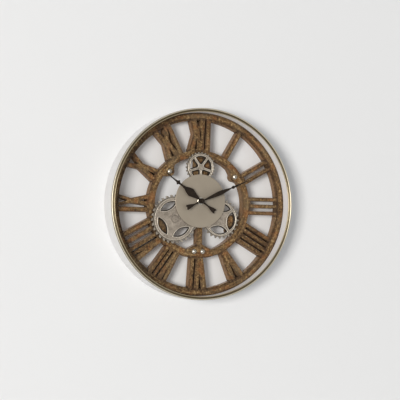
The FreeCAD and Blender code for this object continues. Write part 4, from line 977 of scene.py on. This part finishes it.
print("windows in each lens plate:", LENS_COUNT, "and in the spoked plate:", SPOKE_COUNT)

# %% Closed paths


def even_path(points, count=160, rounding=0):
    """The closed path again in even steps, each point then the mean of its neighbours."""
    closed = np.concatenate([points, points[:1]])
    along = np.concatenate([[0], np.cumsum(np.linalg.norm(np.diff(closed, axis=0), axis=1))])
    steps = np.linspace(0, along[-1], count, endpoint=False)
    even = np.stack([np.interp(steps, along, closed[:, k]) for k in range(2)], -1)
    shifts = range(-rounding, rounding + 1)
    return sum(np.roll(even, shift, axis=0) for shift in shifts) / len(shifts)


def outward(path):
    """Unit normals of a closed path: its direction turned a quarter, away from the middle."""
    ahead = np.roll(path, -1, axis=0) - np.roll(path, 1, axis=0)
    normal = np.stack([ahead[:, 1], -ahead[:, 0]], -1)
    normal /= np.linalg.norm(normal, axis=1, keepdims=True)
    sense = np.sign(np.sum(normal * (path - path.mean(axis=0))))
    return normal * sense


def circle_path(radius, count=180):
    """Points (r sin t, r cos t) of a circle."""
    around = np.linspace(0, 2 * np.pi, count, endpoint=False)
    return radius * np.stack([np.sin(around), np.cos(around)], -1)


print("a circle has", len(circle_path(1.0)), "points")

# %% Windows of the three gears


def lens_path(lens):
    """The outline of a lens window in even steps."""
    return even_path(lens_outline(lens["length"], lens["width"], lens["radius"]), rounding=2)


def window_angles(count, first=0.0):
    """Clock angles of a gear's windows, spread evenly from the first one."""
    return [first + 360 / count * k for k in range(count)]


WINDOWS = {gear: (lens_path(lens), window_angles(LENS_COUNT, lens["angle"]))
           for gear, lens in LENSES.items()}
spoke_window = sector_outline(SPOKE_HUB, PLATE_RADII["top"] - SPOKE_BAND, SPOKE_WIDTH / 2,
                              math.radians(360 / SPOKE_COUNT))
WINDOWS["top"] = (even_path(spoke_window, rounding=4), window_angles(SPOKE_COUNT))
print("windows:", {gear: len(angles) for gear, (path, angles) in WINDOWS.items()})

# %% A bead along a path


def bead_points(path, away, radius, depth, count=10):
    """A circle carried along a flat path: point + normal (away + r cos t), and depth + r sin t."""
    turn = np.linspace(0, 2 * np.pi, count, endpoint=False)
    reach = (away + radius * np.cos(turn))[None, :, None]
    flat = path[:, None, :] + reach * outward(path)[:, None, :]
    y = np.broadcast_to(depth + radius * np.sin(turn), flat.shape[:2])
    return np.stack([flat[..., 0], y, flat[..., 1]], -1)


def turned_about(points, centre, angle):
    """Points turned clockwise by a clock angle and moved to a centre: x' = x cos a + z sin a."""
    turn = math.radians(angle)
    x, z = points[..., 0], points[..., 2]
    return np.stack([centre[0] + x * math.cos(turn) + z * math.sin(turn), points[..., 1],
                     centre[1] + z * math.cos(turn) - x * math.sin(turn)], -1)


print("points of a bead round a circle:", bead_points(circle_path(1.0), 0, 0.1, 0).shape)

# %% Beads of the windows, and dark liners that are painted shade
BEAD_RADIUS = 0.0008
LINER_RADIUS = 0.0010
OFF_THE_EDGE = 0.8
PLATE_EDGE_SINK = 0.25
BOSS_RADIUS = 0.002683


def edge_piece(name, points, gear, material, angle=0):
    """A bead or liner, turned about its gear's middle, that belongs to the clock's frame."""
    piece = grid_piece(name, turned_about(points, GEAR_CENTRES[gear], angle))
    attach(piece, "clock_frame")
    return dress(piece, material)


for gear, (path, angles) in WINDOWS.items():
    bead = bead_points(path, OFF_THE_EDGE * BEAD_RADIUS, BEAD_RADIUS, PLATE_FRONT)
    # Each liner is a dark ring inside the window, painted shade for the window's wall.
    liner = bead_points(path, -OFF_THE_EDGE * LINER_RADIUS, LINER_RADIUS,
                        WHEEL_FRONT + LINER_RADIUS)
    for number, angle in enumerate(angles, 1):
        edge_piece(f"{gear}_window_bead_{number}", bead, gear, PEWTER_BEAD_WORN_AND_HIGHLIT, angle)
        edge_piece(f"{gear}_window_liner_{number}", liner, gear, WINDOW_SHADE_LINER, angle)
    plate_edge = bead_points(circle_path(PLATE_RADII[gear]), -BEAD_RADIUS, BEAD_RADIUS,
                             PLATE_FRONT + PLATE_EDGE_SINK * BEAD_RADIUS)
    edge_piece(f"{gear}_plate_edge_bead", plate_edge, gear, PEWTER_BEAD_WORN_AND_HIGHLIT)
boss_ring = bead_points(circle_path(BOSS_RADIUS), 0, BEAD_RADIUS, PLATE_FRONT)
edge_piece("top_boss_ring", boss_ring, "top", PEWTER_BEAD_WORN_AND_HIGHLIT)

# %% [markdown]
# ## Pads behind the gears
# Wood shows through some of the gears' windows, because the ring carries a flat pad behind each
# gear for its screws. A pad is a plain prism with a wavy, hand-cut outline. It lies a little behind
# the ring's front face, so the two flat faces never lie in one plane and flicker.

# %% Wooden pads
PAD_SETBACK = 0.0004
PAD_THICKNESS = 0.0042
PAD_EDGE = 0.0006
PAD_FLAT_SHARE = 0.97
DIAL_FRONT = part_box("outer_wood_ring")[0].y
PAD_CORNERS = {
    "top": [(-0.0135, 0.0450), (0.0200, 0.0450), (0.0200, 0.0890), (-0.0135, 0.0890)],
    "left": [(-0.0540, -0.0620), (-0.0700, -0.0560), (-0.0840, -0.0250), (-0.0760, -0.0200),
             (-0.0570, -0.0430)],
    "right": [(0.0490, -0.0500), (0.0520, -0.0200), (0.0700, -0.0170), (0.0840, -0.0300),
              (0.0760, -0.0480)],
}


def pad_points(corners):
    """Rows round the pad's outline, columns from its front middle over both edges to its back.

    A point is the middle + share (outline - middle), at the depth that goes with the share.
    """
    path = even_path(np.array(corners), count=96, rounding=3)
    middle = path.mean(axis=0)
    front = DIAL_FRONT + PAD_SETBACK
    back = front + PAD_THICKNESS
    rings = [(0.0, front), (PAD_FLAT_SHARE, front), (1.0, front + PAD_EDGE),
             (1.0, back - PAD_EDGE), (PAD_FLAT_SHARE, back), (0.0, back)]
    columns = []
    for share, y in rings:
        inset = middle + (path - middle) * share
        columns.append(np.column_stack([inset[:, 0], np.full(len(path), y), inset[:, 1]]))
    return np.stack(columns, 1)


for gear, corners in PAD_CORNERS.items():
    pad = grid_piece(f"{gear}_gear_pad", pad_points(corners), wrap_columns=False)
    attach(pad, "clock_frame")
    dress(pad, wood_finish(f"wood_{gear}_pad", straight_grain, 0))
print("pads:", len(PAD_CORNERS))

# %% [markdown]
# ## Turned metal: rivets, screws, disc and nuts
# These small pieces catch the brightest lights on the clock. A ball-headed screw is an arc of a
# sphere over a thin shank. Two sit on the inner ring's lobes, and two at the foot of its strut. The
# disc is a flat sheet with a rolled edge. It shares its axis with the hands, 5.6 mm above the
# clock's middle.

# %% Ball-headed screws
DOME_RADIUS = 0.0050
DOME_HEIGHT = 0.0034
SHANK_RADIUS = 0.0015
SHANK_LENGTH = 0.012
SCREW_PLACES = [(-0.0578, 0.0575), (0.0682, 0.0515), (-0.0082, -0.08561), (0.0082, -0.08561)]


def turned_set(name, profile, centres, segments=48):
    """The same turned piece at several centres, as one object with a run of points for each."""
    grids = np.stack([turned_points(profile, centre, segments) for centre in centres])
    pieces, rows, columns = grids.shape[:3]
    one = grid_corners(rows, columns, wrap_columns=False)[2]
    faces = one + rows * columns * np.arange(pieces)[:, None, None]
    mesh = bpy.data.meshes.new(name)
    mesh.from_pydata(grids.reshape(-1, 3), [], faces.reshape(-1, 4).tolist())
    return finish_mesh(name, mesh)


ball = (DOME_RADIUS ** 2 + DOME_HEIGHT ** 2) / (2 * DOME_HEIGHT)
dome_angle = math.degrees(math.acos((ball - DOME_HEIGHT) / ball))
shank_end = DIAL_FRONT + SHANK_LENGTH
dome_profile = np.concatenate([
    arc_points((0, DIAL_FRONT - DOME_HEIGHT + ball), ball, -90, -90 + dome_angle, count=14),
    [(DOME_RADIUS, DIAL_FRONT), (SHANK_RADIUS, DIAL_FRONT), (SHANK_RADIUS, shank_end),
     (0, shank_end)]])
dome_heads = turned_set("ball_headed_screws", dome_profile, SCREW_PLACES)
settle(dome_heads, "domed_screws", DOME_STEEL)
print("dome angle:", round(dome_angle, 1))

# %% Disc
AXIS = (0.0, 0.0056)
STEM_HOLE = 0.0041
DISC_INNER_RING = 0.0080
DISC_SEGMENTS = 180
disc_low, disc_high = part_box("centre_disc")
disc_front, disc_back, disc_radius = disc_low.y, disc_high.y, disc_high.x
rolled = (disc_back - disc_front) / 2
disc_profile = np.concatenate([
    [(STEM_HOLE, disc_back), (STEM_HOLE, disc_front)],
    [(r, disc_front) for r in np.linspace(DISC_INNER_RING, disc_radius - 2 * rolled, 8)],
    arc_points((disc_radius - rolled, disc_front + rolled), rolled, -90, 90, count=9),
    [(DISC_INNER_RING, disc_back)]])
disc = grid_piece("dial_disc", turned_points(disc_profile, AXIS, DISC_SEGMENTS))
settle(disc, "centre_disc", DISC_METAL)
print("disc radius:", round(disc_radius, 4))

# %% Nut, washer and rivets
EASED_SMALL = {
    "stem_nut": ("hexagon_nut", 0.0005, "bright_steel", BRIGHT_STEEL),
    "stem_washer": ("flat_washer", 0.0002, "bright_steel", BRIGHT_STEEL),
    "gear_rivets": ("gear_centre_rivets", 0.0004, "pewter", PEWTER),
}
for node, (name, width, slot, material) in EASED_SMALL.items():
    dress(eased_copy(name, node, width), material)
print("small eased pieces:", len(EASED_SMALL))

# %% [markdown]
# ## The hands
# The hands are stamped from thin sheet and enamelled dark brown. Their outline is the CAD model's,
# and stamping rounds the front edge, which shows as a thin grey line beside the black.

# %% Hands
EASED_HAND = 0.00022
EASED_CAP = 0.0003

for hand in ("hour_hand", "minute_hand"):
    dress(eased_copy(hand + "_stamped", hand, EASED_HAND, segments=3), HAND_METAL)
dress(eased_copy("cap_nut_turned", "cap_nut", EASED_CAP), HAND_METAL)

# %% [markdown]
# ## Behind the dial
# The movement, its wheels, the hanger and the bumpers keep their CAD shapes, with eased edges where
# they can be seen, and get finishes of their own.

# %% Case, hanger, bumpers and screws
EASED_BEHIND = {
    "movement_front_case": ("case_black", CASE_PLASTIC, 0.0005),
    "movement_back_cover": ("case_black", CASE_PLASTIC, 0.0003),
    "hanger_plate": ("screw_steel", SHEET_METAL, 0.0003),
    "wall_bumpers": ("rubber_black", RUBBER, 0.0008),
    "dial_screws": ("screw_steel", SCREW_STEEL, 0.0004),
    "hanger_rivets": ("screw_steel", SCREW_STEEL, 0.0002),
}
for node, (slot, material, width) in EASED_BEHIND.items():
    dress(eased_copy(node + "_eased", node, width), material)
print("eased pieces behind the dial:", len(EASED_BEHIND))

# %% Works that keep their CAD meshes
PLAIN_BEHIND = {
    "gear_screws": SCREW_STEEL, "disc_spacer": BRIGHT_STEEL, "circuit_board": BOARD,
    "battery_contact_positive": SHEET_METAL, "battery_contact_negative": SHEET_METAL,
    "quartz_crystal": SHEET_METAL, "motor_stator": IRON, "motor_coil": COPPER,
    "motor_rotor": BRASS, "fifth_wheel": WHEEL_PLASTIC, "second_wheel": WHEEL_PLASTIC,
    "third_wheel": WHEEL_PLASTIC, "minute_wheel": BRASS, "motion_wheel": WHEEL_PLASTIC,
    "hour_wheel": BRASS, "setting_knob": WHEEL_PLASTIC,
}


def give_finish(node, material):
    """A CAD node keeps its mesh and gets a finish."""
    nodes[node].data.materials.clear()
    nodes[node].data.materials.append(material)


for node, material in PLAIN_BEHIND.items():
    give_finish(node, material)
print("nodes kept as they are:", len(PLAIN_BEHIND))

# %% Battery jacket
BARE_STEEL = (0.60, 0.60, 0.58)
JACKET_BLACK = (0.02, 0.02, 0.022)
JACKET_COPPER = (0.62, 0.30, 0.12)
BATTERY_STOPS = [(0.0, *BARE_STEEL), (0.020, *BARE_STEEL), (0.025, *JACKET_BLACK),
                 (0.700, *JACKET_BLACK), (0.705, *JACKET_COPPER), (0.955, *JACKET_COPPER),
                 (0.960, *BARE_STEEL)]
FOIL_METALLIC = 0.55
FOIL_ROUGHNESS, FOIL_CLOUDS = 0.25, 0.1


def battery_finish():
    """A printed foil jacket: a copper band at one end, black along the rest, and bare steel tips.

    The colour goes with the share of the way along X, from the low to the high end of the cell.
    """
    material, tree, shader, place = new_finish("battery_foil")
    start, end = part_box("battery")
    along = spread(tree, axes_of(tree, place)[0], start.x, end.x)
    pattern = pattern_of(tree, cast_group, Place=place, Cloud_size=120.0, Grit_size=2000.0)
    rough = scaled(tree, pattern.outputs["Cloud"], FOIL_CLOUDS, FOIL_ROUGHNESS)
    feed(tree, shader, Base_Color=ramp(tree, along, BATTERY_STOPS), Metallic=FOIL_METALLIC,
         Roughness=rough)
    return material


give_finish("battery", battery_finish())
print("finishes in all:", len(bpy.data.materials))
